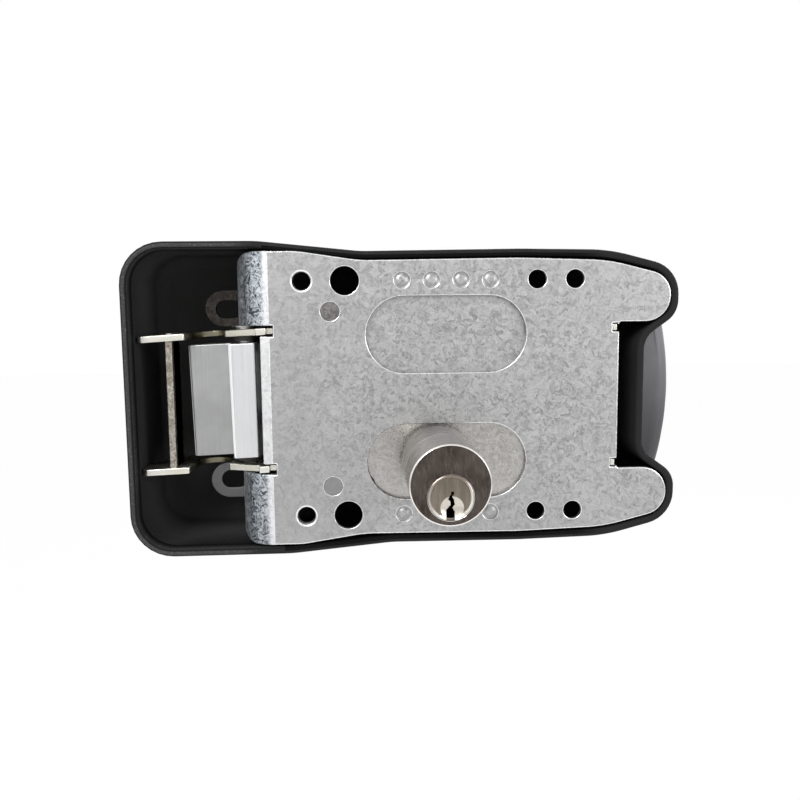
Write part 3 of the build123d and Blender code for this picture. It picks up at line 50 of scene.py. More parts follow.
to_view = Matrix(((1, 0, 0), (0, 0, -1), (0, 1, 0)))
turned = Matrix.Rotation(CAMERA_YAW, 3, "Y").transposed() @ to_view
turned = Matrix.Rotation(CAMERA_PITCH, 3, "X") @ turned
turned = Matrix.Rotation(CAMERA_ROLL, 3, "Z") @ turned
camera_axes = Matrix((turned[0], -turned[1], -turned[2])).transposed()
camera_data = bpy.data.cameras.new("product_camera")
camera_data.sensor_width = FILM_WIDE
camera_data.lens = FILM_WIDE
camera_data.clip_start = 0.02
camera = bpy.data.objects.new("product_camera", camera_data)
camera.matrix_world = Matrix.Translation(Vector(CAMERA_PLACE) * MM) @ camera_axes.to_4x4()
bpy.context.scene.collection.objects.link(camera)
bpy.context.scene.camera = camera
bpy.context.scene.view_settings.view_transform = "Standard"


# The studio: a white surround that metal reflects, one large soft lamp over the camera's left
# shoulder, a weaker one on its right, and one behind so that the front cover can be seen.
def soft_lamp(name, place, target, size, power):
    """A square soft box at place, aimed at target, all in metres, with its power in watts."""
    data = bpy.data.lights.new(name, "AREA")
    data.size = size
    data.energy = power
    lamp = bpy.data.objects.new(name, data)
    lamp.location = place
    lamp.rotation_euler = (Vector(target) - Vector(place)).to_track_quat("-Z", "Y").to_euler()
    bpy.context.scene.collection.objects.link(lamp)


soft_lamp("left_soft_box", (-0.55, -0.75, 0.65), (0, 0, 0), 0.55, 9.0)
soft_lamp("right_soft_box", (0.80, -0.70, 0.20), (0, 0, 0), 0.45, 3.0)
soft_lamp("rear_soft_box", (0.45, 0.90, 0.60), (0, 0.03, 0), 0.6, 8.0)


def add_node(tree, kind, settings=None, **sockets):
    """A node of this kind. Its sockets, by name or as i0, i1, take a value or another node's output."""
    node = tree.nodes.new("ShaderNode" + kind)
    for name, value in (settings or {}).items():
        setattr(node, name, value)
    for name, value in sockets.items():
        socket = node.inputs[int(name[1:]) if name[1:].isdigit() else name.replace("_", " ")]
        if isinstance(value, bpy.types.NodeSocket):
            tree.links.new(value, socket)
        else:
            socket.default_value = value
    return node


world = bpy.data.worlds.new("white_surround")
bpy.context.scene.world = world
world.use_nodes = True
sky = world.node_tree
rays = add_node(sky, "LightPath").outputs
seen = add_node(sky, "Math", {"operation": "MAXIMUM"}, i0=rays["Is Camera Ray"],
                i1=rays["Is Transmission Ray"])
seen = add_node(sky, "Math", {"operation": "MAXIMUM"}, i0=seen.outputs[0], i1=rays["Is Glossy Ray"])
# The camera, glass and metal see the full surround, and dull faces are lit by a weaker one
strength = add_node(sky, "MapRange", Value=seen.outputs[0], To_Min=0.62, To_Max=1.0)
sky.links.new(strength.outputs[0], sky.nodes["Background"].inputs["Strength"])
sky.nodes["Background"].inputs["Color"].default_value = (1, 1, 1, 1)


# The floor: plain white board well under the lock, which hangs free as it does on a gate. The
# camera sees it almost as bright as the surround, so that no edge of it shows behind the lock.
def grey(value):
    """A neutral colour."""
    return (value, value, value, 1)


FLOOR_Z = -0.30
FLOOR_HALF = 4
floor_mesh = bpy.data.meshes.new("floor")
floor_corners = [(-FLOOR_HALF, -FLOOR_HALF, FLOOR_Z), (FLOOR_HALF, -FLOOR_HALF, FLOOR_Z),
                 (FLOOR_HALF, FLOOR_HALF, FLOOR_Z), (-FLOOR_HALF, FLOOR_HALF, FLOOR_Z)]
floor_mesh.from_pydata(floor_corners, [], [(0, 1, 2, 3)])
floor = bpy.data.objects.new("floor", floor_mesh)
bpy.context.scene.collection.objects.link(floor)
board = bpy.data.materials.new("white_board")
board.use_nodes = True
tree = board.node_tree
tree.nodes.remove(tree.nodes["Principled BSDF"])
matt = add_node(tree, "BsdfDiffuse", Color=grey(0.86))
glow = add_node(tree, "Emission")
share = add_node(tree, "MapRange", Value=add_node(tree, "LightPath").outputs["Is Camera Ray"], To_Max=0.97)
both = add_node(tree, "MixShader", i0=share.outputs[0], i1=matt.outputs[0], i2=glow.outputs[0])
tree.links.new(both.outputs[0], tree.nodes["Material Output"].inputs[0])
floor_mesh.materials.append(board)


# Cover: one injection-moulded bowl of black nylon with a fine spark-eroded grain. Its rim is a
# rounded band that lies level with the plate, and the left end stands open round the mouth.
def outline_points(corners, inset=0.0, steps=8):
    """Points round an outline of (a, b, radius) corners, moved inwards by inset, in millimetres."""
    count = len(corners)
    area = sum(corners[i - 1][0] * corners[i][1] - corners[i][0] * corners[i - 1][1]
               for i in range(count))
    sense = 1 if area > 0 else -1
    points = []
    for i, (a, b, radius) in enumerate(corners):
        before = Vector((a - corners[i - 1][0], b - corners[i - 1][1])).normalized()
        following = corners[(i + 1) % count]
        after = Vector((following[0] - a, following[1] - b)).normalized()
        inner_before = Vector((-before.y, before.x)) * sense
        inner_after = Vector((-after.y, after.x)) * sense
        move = inset / (1 + inner_before.dot(inner_after))
        corner = Vector((a, b)) + (inner_before + inner_after) * move
        outward_turn = sense * (before.x * after.y - before.y * after.x) > 0
        round_r = max(radius - inset if outward_turn else radius + inset, 0.02)
        half_turn = before.angle(after, 0) / 2
        start = corner - before * (round_r * tan(half_turn))
        side = inner_before if outward_turn else -inner_before
        centre = start + side * round_r
        arm = start - centre
        way = 1 if before.x * after.y - before.y * after.x > 0 else -1
        for step in range(steps + 1):
            swing = way * 2 * half_turn * step / steps
            points.append(centre + Vector((arm.x * cos(swing) - arm.y * sin(swing),
                                           arm.x * sin(swing) + arm.y * cos(swing))))
    return points


def distinct(points):
    """The places in a loop whose point isn't the one before it again."""
    return [i for i, point in enumerate(points) if (point - points[i - 1]).length > 1e-4]


# How an outline's two directions and its height lie when the walls stand across an axis
LAY = {"X": lambda a, b, c: (c, a, b), "Y": lambda a, b, c: (a, c, b), "Z": lambda a, b, c: (a, b, c)}


def add_loops(bm, corners, stations, across="Y", steps=8):
    """Walls through an outline's loops at (inset, height) stations. Gives the first and last loops."""
    lay = LAY[across]
    keep = distinct(outline_points(corners, 0, steps))
    rings = []
    for inset, height in stations:
        points = outline_points(corners, inset, steps)
        rings.append([bm.verts.new(lay(points[i].x * MM, points[i].y * MM, height * MM)) for i in keep])
    for low, high in zip(rings, rings[1:]):
        for i in range(len(keep)):
            bm.faces.new((low[i - 1], low[i], high[i], high[i - 1]))
    return rings[0], rings[-1]


def close_flat(bm, *loops):
    """Fill between an outer loop and the holes in it."""
    edges = []
    for loop in loops:
        for i in range(len(loop)):
            edge = bm.edges.get((loop[i - 1], loop[i]))
            edges.append(edge or bm.edges.new((loop[i - 1], loop[i])))
    bmesh.ops.triangle_fill(bm, use_beauty=True, use_dissolve=False, edges=edges)


def add_solid(bm, corners, stations, steps=8):
    """A closed form through an outline's loops, flat at both ends."""
    for loop in add_loops(bm, corners, stations, steps=steps):
        close_flat(bm, loop)


def edge_round(start, end, radius, sign=1):
    """(inset, height) stations of a wall from start to end whose two edges are rounded off."""
    turn = [0, radians(30), radians(60), radians(90)]
    low = [(sign * radius * (1 - sin(t)), start + radius * (1 - cos(t))) for t in turn]
    high = [(inset, end - (height - start)) for inset, height in reversed(low)]
    return low + high


def add_prism(bm, outer, start, end, across="Y", holes=(), edge=0.25, steps=8):
    """An outline drawn out from start to end with rounded edges and holes.

    A hole may be a pair of its outline and the rounding of its edges.
    """
    first, last = add_loops(bm, outer, edge_round(start, end, edge), across, steps)
    low, high = [first], [last]
    for hole in holes:
        hole, hole_edge = hole if isinstance(hole, tuple) else (hole, min(edge, 0.3))
        first, last = add_loops(bm, hole, edge_round(start, end, hole_edge, -1), across, steps)
        low.append(first)
        high.append(last)
    close_flat(bm, *low)
    close_flat(bm, *high)


def circle(a, b, radius):
    """A round outline, as four corners."""
    return [(a - radius, b - radius, radius), (a + radius, b - radius, radius),
            (a + radius, b + radius, radius), (a - radius, b + radius, radius)]


def box(a_low, a_high, b_low, b_high, radius=0.3):
    """A rectangular outline."""
    return [(a_low, b_low, radius), (a_high, b_low, radius),
            (a_high, b_high, radius), (a_low, b_high, radius)]


def keep_flats(piece):
    """Flat faces stay flat in the shading, and only the rounded edges between them blend."""
    weighted = piece.modifiers.new("flat faces stay flat", "WEIGHTED_NORMAL")
    weighted.keep_sharp = True


def made(bm, name, material, smooth=34):
    """The finished mesh as an object: welded, turned outwards, shaded smooth but for sharp edges."""
    bmesh.ops.remove_doubles(bm, verts=bm.verts, dist=2e-6)
    bmesh.ops.dissolve_degenerate(bm, edges=bm.edges, dist=1e-6)
    bmesh.ops.recalc_face_normals(bm, faces=bm.faces)
    mesh = bpy.data.meshes.new(name)
    bm.to_mesh(mesh)
    bm.free()
    mesh.materials.append(material)
    mesh.shade_smooth()
    mesh.set_sharp_from_angle(angle=radians(smooth))
    piece = bpy.data.objects.new(name, mesh)
    bpy.context.scene.collection.objects.link(piece)
    keep_flats(piece)
    return piece


def second(piece, material, chosen):
    """Another material on the faces that chosen picks by centre (in millimetres) and normal."""
    piece.data.materials.append(material)
    slot = len(piece.data.materials) - 1
    for face in piece.data.polygons:
        if chosen(face.center / MM, face.normal):
            face.material_index = slot


def effect(name, inputs):
    """An empty node group that puts out a colour, a roughness and a height, with its inner sockets."""
    tree = bpy.data.node_groups.new(name, "ShaderNodeTree")
    kinds = {"c": "NodeSocketColor", "f": "NodeSocketFloat", "v": "NodeSocketVector"}
    for label, kind, value in inputs:
        socket = tree.interface.new_socket(label, in_out="INPUT", socket_type=kinds[kind])
        socket.default_value = value
    for label, kind in (("Colour", "c"), ("Roughness", "f"), ("Height", "f")):
        tree.interface.new_socket(label, in_out="OUTPUT", socket_type=kinds[kind])
    return tree, tree.nodes.new("NodeGroupInput").outputs, tree.nodes.new("NodeGroupOutput").inputs


def noise(tree, place, scale, detail=2.0, roughness=0.5):
    """Noise from 0 to 1 over the surface."""
    return add_node(tree, "TexNoise", Vector=place, Scale=scale, Detail=detail,
                    Roughness=roughness).outputs[0]


def spread(tree, value, low, high, to_low=0.0, to_high=1.0):
    """The value with low to high stretched to to_low to to_high, and held beyond them."""
    return add_node(tree, "MapRange", Value=value, From_Min=low, From_Max=high, To_Min=to_low,
                    To_Max=to_high).outputs[0]


def plus(tree, value, more):
    """The sum of two values."""
    return add_node(tree, "Math", i0=value, i1=more).outputs[0]


def times(tree, value, factor):
    """The product of two values."""
    return add_node(tree, "Math", {"operation": "MULTIPLY"}, i0=value, i1=factor).outputs[0]


def tinted(tree, share, colour, other):
    """The colour with a share of another one mixed in."""
    return add_node(tree, "MixRGB", Fac=share, Color1=colour, Color2=other).outputs[0]


def moulded_grain():
    """Grain of a moulded plastic: fine leathery pits, a slow change of shade and rubbed high spots."""
    tree, given, out = effect(
        "moulded_grain",
        [("Colour", "c", grey(0.02)), ("Rubbed", "c", grey(0.06)), ("Grain", "f", 1400.0),
         ("Wear", "f", 260.0), ("Roughness", "f", 0.5)])
    place = add_node(tree, "TexCoord").outputs["Object"]
    pits = noise(tree, place, given["Grain"], 3.0, 0.6)
    slow = noise(tree, place, 38.0, 4.0, 0.55)
    worn = spread(tree, noise(tree, place, given["Wear"], 6.0, 0.7), 0.52, 0.78, 0.0, 0.55)
    blend = tinted(tree, worn, given["Colour"], given["Rubbed"])
    shade = spread(tree, slow, 0.3, 0.7, 0.8, 1.2)
    shaded = add_node(tree, "VectorMath", {"operation": "SCALE"}, i0=blend, Scale=shade)
    tree.links.new(shaded.outputs[0], out["Colour"])
    tree.links.new(plus(tree, spread(tree, pits, 0.3, 0.7, -0.08, 0.1), given["Roughness"]), out["Roughness"])
    tree.links.new(pits, out["Height"])
    return tree


def surface(name, group, bump, metallic=0.0, specular=0.5, **values):
    """A material whose colour, roughness and bump come from one effect group with these values."""
    material = bpy.data.materials.new(name)
    material.use_nodes = True
    tree = material.node_tree
    shader = tree.nodes["Principled BSDF"]
    node = add_node(tree, "Group", {"node_tree": group}, **values)
    relief = add_node(tree, "Bump", Height=node.outputs["Height"], Strength=0.6, Distance=bump)
    tree.links.new(node.outputs["Colour"], shader.inputs["Base Color"])
    tree.links.new(node.outputs["Roughness"], shader.inputs["Roughness"])
    tree.links.new(relief.outputs[0], shader.inputs["Normal"])
    shader.inputs["Metallic"].default_value = metallic
    shader.inputs["Specular IOR Level"].default_value = specular
    return material


def fade(material, axis, low, high, colour, share=1.0, by="Object"):
    """Blend the base colour into another one between two places along an axis, in millimetres.

    With by="Normal" it is the surface's direction that counts, and low and high are its parts.
    """
    tree = material.node_tree
    base = tree.nodes["Principled BSDF"].inputs["Base Color"]
    unit = MM if by == "Object" else 1
    place = add_node(tree, "SeparateXYZ", i0=add_node(tree, "TexCoord").outputs[by])
    amount = add_node(tree, "MapRange", {"interpolation_type": "SMOOTHSTEP"}, Value=place.outputs[axis],
                      From_Min=low * unit, From_Max=high * unit, To_Max=share)
    tree.links.new(tinted(tree, amount.outputs[0], base.links[0].from_socket, colour), base)


GRAIN = moulded_grain()
black_nylon = surface("black_nylon", GRAIN, 0.00012, specular=0.2, Colour=(0.0062, 0.0062, 0.0064, 1),
                      Rubbed=(0.022, 0.022, 0.023, 1), Grain=1500.0, Roughness=0.52)

COVER_RIM = [(-113.0, 55.6, 15.0), (-66.0, 55.6, 60.0), (-30.0, 51.9, 50.0), (26.0, 52.4, 120.0),
             (58.0, 51.9, 60.0), (83.5, 45.3, 12.0), (83.5, 29.2, 9.0), (71.4, 20.5, 8.0),
             (71.4, -20.5, 8.0), (83.5, -29.2, 9.0), (83.5, -45.3, 12.0), (58.0, -51.9, 60.0),
             (26.0, -52.6, 120.0), (-20.0, -52.3, 50.0), (-56.0, -55.6, 60.0), (-113.0, -55.6, 15.0)]
COVER_DEPTH = 49.0
COVER_INNER = 46.0
COVER_WALL = 2.6
COVER_ROUND = 8.0
RIM_ROUND = 1.25
BUTTON_PLACE = (16.0, 0.0)
BUTTON_HOLE_R = 13.8
COVER_SCREWS = [(-40.9, 31.1), (-40.9, -31.1)]
SCREW_HEAD_R = 3.62
SCREW_SEAT = COVER_DEPTH - 2.2
SCREW_SHANK_INSET = 1.42


def quarter_turn(steps):
    """Angles from 0 to 90 degrees."""
    return [radians(90) * i / steps for i in range(steps + 1)]


quarter = quarter_turn(6)
outer_wall = [(RIM_ROUND * (1 - sin(t)), RIM_ROUND * (1 - cos(t))) for t in quarter]
outer_wall += [(0, 10.0), (0, 25.0)]
outer_wall += [(COVER_ROUND * (1 - cos(t)), COVER_DEPTH - COVER_ROUND * (1 - sin(t))) for t in quarter]
inner_wall = [(COVER_WALL - RIM_ROUND * (1 - sin(t)), RIM_ROUND * (1 - cos(t))) for t in quarter]
inner_round = COVER_ROUND - COVER_WALL
inner_wall += [(COVER_WALL, 3.0), (COVER_WALL, 6.5), (COVER_WALL, 20.0)]
inner_wall += [(COVER_WALL + inner_round * (1 - cos(t)), COVER_INNER - inner_round * (1 - sin(t)))
               for t in quarter]

bm = bmesh.new()
rim_out, front_edge = add_loops(bm, COVER_RIM, outer_wall)
floor_loops, front_loops = [], [front_edge]
button_low, button_high = add_loops(bm, circle(*BUTTON_PLACE, BUTTON_HOLE_R),
                                    [(0, COVER_INNER), (0, COVER_DEPTH - 0.8), (-0.25, COVER_DEPTH - 0.25),
                                     (-0.8, COVER_DEPTH)], steps=12)
floor_loops.append(button_low)
front_loops.append(button_high)
for place in COVER_SCREWS:
    low, high = add_loops(bm, circle(*place, SCREW_HEAD_R),
                          [(SCREW_SHANK_INSET, COVER_INNER), (SCREW_SHANK_INSET, SCREW_SEAT),
                           (0, SCREW_SEAT), (0, COVER_DEPTH - 0.3), (-0.3, COVER_DEPTH)])
    floor_loops.append(low)
    front_loops.append(high)
close_flat(bm, *front_loops)
outside = set(bm.faces)
rim_in, floor_edge = add_loops(bm, COVER_RIM, inner_wall)
close_flat(bm, floor_edge, *floor_loops)
# The inside gets the second material, and the band of the rim that is added next the first
for face in bm.faces:
    face.material_index = 0 if face in outside else 1
for i in range(len(rim_out)):
    bm.faces.new((rim_out[i - 1], rim_out[i], rim_in[i], rim_in[i - 1]))
cover = made(bm, "cover_shell", black_nylon, 50)
INSIDE_SHADE = (0.006, 0.006, 0.0061, 1)
RIM_SHADE = (0.0075, 0.0075, 0.0077, 1)
nylon_inside_painted_light = surface("nylon_inside_painted_light", GRAIN, 0.00012, specular=0.05, Colour=INSIDE_SHADE,
                       Rubbed=grey(0.008), Grain=1500.0, Roughness=0.9)
# Painted light: the inside is painted lighter towards its floor and at both ends, to lift the shade there
fade(nylon_inside_painted_light, "Y", 0.0, 34.0, grey(0.055))
fade(nylon_inside_painted_light, "X", -88.0, -104.0, grey(0.13), 0.12)
fade(nylon_inside_painted_light, "X", 45.0, 60.0, grey(0.05), 0.35)
cover.data.materials.append(nylon_inside_painted_light)
nylon_rim_wear_and_highlight = surface("nylon_rim_wear_and_highlight", GRAIN, 0.00022, specular=0.12, Colour=(0.042, 0.042, 0.0425, 1),
                    Rubbed=grey(0.26), Grain=1100.0, Wear=1300.0, Roughness=0.6)
# Painted shade on the rim where it turns away from the camera, and towards its right end
fade(nylon_rim_wear_and_highlight, "Y", -0.97, -0.80, RIM_SHADE, 1.0, "Normal")
fade(nylon_rim_wear_and_highlight, "X", -76.0, -66.0, RIM_SHADE, 0.8)
# The open left end shows its rim, rubbed and painted lighter as a highlight, and inside it a step painted
# paler as painted light, with painted shade running out into the dark
second(cover, nylon_rim_wear_and_highlight, lambda at, normal: at.y < 1.0 and at.x < -64 and normal.y < -0.3)
nylon_step_painted_light = surface("nylon_step_painted_light", GRAIN, 0.00022, specular=0.05, Colour=(0.034, 0.034, 0.0345, 1),
                     Rubbed=grey(0.15), Grain=1100.0, Wear=1300.0, Roughness=0.7)
# Painted shade: the step darkens into the inside's colour as it goes deeper
fade(nylon_step_painted_light, "Y", 1.5, 5.5, INSIDE_SHADE)
second(cover, nylon_step_painted_light, lambda at, normal: 0.5 < at.y < 6.5 and at.x < -72 and
       (at.x + 60) * normal.x + at.z * normal.z < 0)
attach(cover, "case")
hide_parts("cover")


# Back plate: 2 mm hot-dip galvanised sheet, punched, and rolled round at its left edge. Its face
# shows faint spangle, fine scuffs and dark specks. Two holes are extruded inwards for screws.
def blended(tree, share, value, other):
    """The value with a share of another one mixed in."""
    return add_node(tree, "Mix", {"data_type": "FLOAT"}, Factor=share, A=value, B=other).outputs[0]


def facets(tree, place, scale):
    """Crystal facets, each with one even shade from 0 to 1."""
    cells = add_node(tree, "TexVoronoi", Vector=place, Scale=scale, Randomness=1.0)
    return add_node(tree, "SeparateColor", Color=cells.outputs["Color"]).outputs[0]


def zinc_spangle():
    """Hot-dip zinc: crystal facets of slightly different shade and gloss, scuffs, and dark specks."""
    tree, given, out = effect(
        "zinc_spangle",
        [("Colour", "c", grey(0.45)), ("Pale", "c", grey(0.6)), ("Dark", "c", grey(0.2)),
         ("Flakes", "f", 0.5), ("Flake Scale", "f", 900.0), ("Specks", "f", 0.5), ("Streaks", "f", 0.3),
         ("Roughness", "f", 0.4)])
    place = add_node(tree, "TexCoord").outputs["Object"]
    wander = add_node(tree, "TexNoise", Vector=place, Scale=220.0, Detail=3.0)
    bent = add_node(tree, "MixRGB", {"blend_type": "LINEAR_LIGHT"}, Fac=0.0035, Color1=place,
                    Color2=wander.outputs["Color"]).outputs[0]
    mixed = blended(tree, 0.45, facets(tree, bent, given["Flake Scale"]), facets(tree, bent, 1600.0))
    mixed = blended(tree, 0.16, mixed, noise(tree, place, 60.0, 5.0, 0.65))
    mixed = blended(tree, 0.42, mixed, noise(tree, place, 1500.0, 3.0, 0.6))
    contrast = times(tree, plus(tree, mixed, -0.5), given["Flakes"])
    colour = tinted(tree, spread(tree, contrast, 0.0, 0.3), given["Colour"], given["Pale"])
    colour = tinted(tree, spread(tree, contrast, 0.0, -0.3), colour, given["Dark"])
    drawn = add_node(tree, "Mapping", Vector=place, Scale=(1400.0, 1400.0, 60.0)).outputs[0]
    streaks = spread(tree, noise(tree, drawn, 0.35, 3.0), 0.52, 0.72)
    colour = tinted(tree, times(tree, streaks, given["Streaks"]), colour, given["Dark"])
    dots = spread(tree, noise(tree, place, 700.0, 2.0, 0.4), 0.66, 0.74)
    where = spread(tree, noise(tree, place, 45.0), 0.45, 0.65)
    specks = times(tree, times(tree, dots, where), given["Specks"])
    rough = plus(tree, spread(tree, mixed, 0.2, 0.8, -0.12, 0.12), given["Roughness"])
    tree.links.new(tinted(tree, specks, colour, given["Dark"]), out["Colour"])
    tree.links.new(rough, out["Roughness"])
    tree.links.new(mixed, out["Height"])
    return tree


SPANGLE = zinc_spangle()
galvanised = surface("galvanised_sheet", SPANGLE, 0.00004, 1.0, Colour=grey(0.40), Pale=grey(0.56),
                     Dark=(0.16, 0.16, 0.163, 1), Flakes=0.62, Flake_Scale=720.0, Specks=0.75,
                     Streaks=0.06, Roughness=0.45)
fade(galvanised, "X", -15.0, -60.0, grey(0.37), 0.5)

SHEET = 2.0
BEND_X = -62.0
BEND_R = 12.0
MOUTH_HALF = 26.4
STRIP_HALF = 22.6
GAP_X = -60.9
PLATE_LEFT = BEND_X - 0.5
PLATE_END = 52.1
NOTCH_X = 62.0
PLATE_TOP = [(PLATE_LEFT, PLATE_END, 0.2), (-52.0, PLATE_END, 30.0), (-30.15, 48.8, 53.1),
             (25.96, 49.3, 116.9), (57.5, 48.3, 60.0), (80.5, 42.5, 8.6), (80.5, 26.4, 9.0),
             (NOTCH_X, 26.4, 0.8), (NOTCH_X, 26.0, 0.1), (59.6, 26.0, 0.1), (59.6, 23.0, 0.1),
             (NOTCH_X, 23.0, 0.4)]
PLATE_OUTLINE = PLATE_TOP + [(x, -z, r) for x, z, r in reversed(PLATE_TOP)]
GAPS = [(PLATE_LEFT, MOUTH_HALF, 0.1), (GAP_X, MOUTH_HALF, 0.1), (GAP_X, STRIP_HALF, 0.1),
        (PLATE_LEFT, STRIP_HALF, 0.1)]
PLATE_OUTLINE += [(x, -z, r) for x, z, r in GAPS] + GAPS[::-1]
SLOT_HALF = 28.5
SLOT_R = 13.6
SLOTS = [box(-SLOT_HALF, SLOT_HALF, z - SLOT_R, z + SLOT_R, SLOT_R) for z in (22.7, -22.7)]
HOLE_ROWS = (41.7, -41.7)
COLLAR_X = -50.6
COLLAR_HOLE_R = 3.1
COLLARS = [(circle(COLLAR_X, z, COLLAR_HOLE_R), 0.85) for z in HOLE_ROWS]
CABLE_HOLES = [circle(-35.6, z, 5.0) for z in HOLE_ROWS]
SCREW_HOLES = [circle(x, z, 3.25) for x in (32.3, 45.8) for z in HOLE_ROWS]
RIVET_HOLES = [circle(x, z, 3.32) for x, z in COVER_SCREWS]
DIMPLES = [(x, z) for x in (-15.6, -5.2, 5.2, 15.6) for z in HOLE_ROWS]
DIMPLE_R = 2.8
DIMPLE_DEEP = 0.45
DIMPLE_PROFILE = [(0, SHEET - 0.5), (0, 0.3), (0.3, DIMPLE_DEEP), (0.6, DIMPLE_DEEP), (0.95, 0.3),
                  (1.3, 0.12), (1.7, 0.04), (2.2, 0.02)]


def from_dimple(at):
    """How far a place lies from the middle of the nearest dimple."""
    return min(sqrt((at.x - x) ** 2 + (at.z - z) ** 2) for x, z in DIMPLES)


bm = bmesh.new()
add_prism(bm, PLATE_OUTLINE, 0, SHEET, holes=SLOTS + COLLARS + CABLE_HOLES + SCREW_HOLES + RIVET_HOLES
          + [circle(x, z, DIMPLE_R) for x, z in DIMPLES], edge=0.5, steps=8)
# Pressed dimples: a ring groove with a flat middle that stands almost level with the plate
for x, z in DIMPLES:
    add_solid(bm, circle(x, z, DIMPLE_R), DIMPLE_PROFILE)
# Extruded holes: the punch drew the sheet into a short collar
for z in HOLE_ROWS:
    add_prism(bm, circle(COLLAR_X, z, 4.2), SHEET - 0.3, SHEET + 2.0,
              holes=[circle(COLLAR_X, z, COLLAR_HOLE_R)], edge=0.25)
back_plate = made(bm, "back_plate_sheet", galvanised)
painted_edge_highlight = surface("painted_edge_highlight", SPANGLE, 0.00003, 1.0, Colour=(0.86, 0.87, 0.88, 1), Pale=grey(0.95),
                      Dark=(0.45, 0.45, 0.46, 1), Flakes=0.5, Specks=0.3, Streaks=0.1, Roughness=0.25)
# Painted highlight: the rounded edges of the outline, slots and holes are painted near white, where they
# catch the light
second(back_plate, painted_edge_highlight, lambda at, normal: 0.12 < abs(normal.y) < 0.97 and at.y < 0.6 and
       from_dimple(at) > DIMPLE_R + 0.2)
groove_painted_shade = surface("groove_painted_shade", SPANGLE, 0.00003, 1.0, Colour=grey(0.33), Pale=grey(0.5),
                         Dark=grey(0.16), Flakes=0.5, Specks=0.3, Streaks=0.1, Roughness=0.42)
# Painted shade: the dimples' ring grooves are painted darker than the plate
second(back_plate, groove_painted_shade, lambda at, normal: 0.2 < at.y < 0.7 and from_dimple(at) < DIMPLE_R + 0.06)
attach(back_plate, "case")
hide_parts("back_plate")


# Rolled edge: the same sheet bent through a quarter turn above and below the mouth. Bending has
# broken the zinc's crystals into dark streaks. Between them a short strip keeps the edge stiff.
def add_roll(bm, z_low, z_high, angle, tail=0.0, corner=0.0):
    """Sheet rolled about the left edge by angle, with a straight tail, from z_low to z_high.

    The corner away from the mouth is rounded off by corner, over the outer part of the bend.
    """
    steps = 10
    turns = [radians(angle) * i / steps for i in range(steps + 1)]
    outer = [(BEND_X - BEND_R * sin(t), BEND_R - BEND_R * cos(t)) for t in turns]
    inner = [(BEND_X - (BEND_R - SHEET) * sin(t), BEND_R - (BEND_R - SHEET) * cos(t)) for t in turns]
    if tail:
        outer += [(outer[-1][0], outer[-1][1] + tail * i / 4) for i in range(1, 5)]
        inner += [(inner[-1][0], inner[-1][1] + tail * i / 4) for i in range(1, 5)]
    rows = 24
    round_from = 0.55
    grid = []
    for i in range(rows + 1):
        share = i / rows
        line = []
        for x, y in outer + inner[::-1]:
            reach = max(0.0, (BEND_X - x) / BEND_R)
            rounding = max(0.0, (reach - round_from) / (1 - round_from))
            cut = corner * (1 - sqrt(max(0.0, 1 - rounding ** 2)))
            top = z_high - cut if z_high > 0 else z_high
            low = z_low + cut if z_high < 0 else z_low
            line.append(bm.verts.new((x * MM, y * MM, (low + (top - low) * share) * MM)))
        grid.append(line)
    size = len(outer) * 2
    for i in range(rows):
        for j in range(size):
            bm.faces.new((grid[i][j - 1], grid[i][j], grid[i + 1][j], grid[i + 1][j - 1]))
    for line in (grid[0], grid[-1]):
        for j in range(size // 2 - 1):
            bm.faces.new((line[j], line[j + 1], line[size - 2 - j], line[size - 1 - j]))


def break_edges(piece, width, segments):
    """Round off the sharp edges of a piece."""
    soften = piece.modifiers.new("broken edges", "BEVEL")
    soften.width = width * MM
    soften.segments = segments
    soften.limit_method = "ANGLE"
    soften.angle_limit = radians(50)


galvanised_roll = surface("galvanised_roll", SPANGLE, 0.0001, 1.0, Colour=(0.31, 0.335, 0.36, 1),
                          Pale=(0.50, 0.53, 0.56, 1), Dark=(0.045, 0.055, 0.066, 1), Flakes=2.0,
                          Flake_Scale=1150.0, Specks=1.0, Streaks=0.9, Roughness=0.5)
# Painted highlights: a lighter band far round the bend, and a bright one where the bend leaves the plate
fade(galvanised_roll, "X", -69.5, -73.8, (0.66, 0.70, 0.74, 1), 0.45)
fade(galvanised_roll, "X", -65.2, -63.0, (0.80, 0.805, 0.825, 1), 0.7)
ROLL_TAIL = 10.0
ROLL_CORNER = 6.0
bm = bmesh.new()
add_roll(bm, MOUTH_HALF, PLATE_END, 90, ROLL_TAIL, ROLL_CORNER)
add_roll(bm, -PLATE_END, -MOUTH_HALF, 90, ROLL_TAIL, ROLL_CORNER)
rolled_edge = made(bm, "rolled_edge", galvanised_roll)
break_edges(rolled_edge, 0.35, 2)
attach(rolled_edge, "case")

STRIP_ANGLE = 17
bm = bmesh.new()
add_roll(bm, -STRIP_HALF, STRIP_HALF, STRIP_ANGLE)
# Painted highlight: the strip where the sheet starts to bend is painted much lighter than the plate, as the
# light it catches
strip_painted_highlight = surface("strip_painted_highlight", SPANGLE, 0.00003, 1.0, Colour=(0.74, 0.745, 0.75, 1), Pale=grey(0.84),
                      Dark=(0.45, 0.45, 0.46, 1), Flakes=0.3, Specks=0.15, Streaks=0.05, Roughness=0.36)
mouth_strip = made(bm, "mouth_strip", strip_painted_highlight)
break_edges(mouth_strip, 0.4, 3)
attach(mouth_strip, "case")

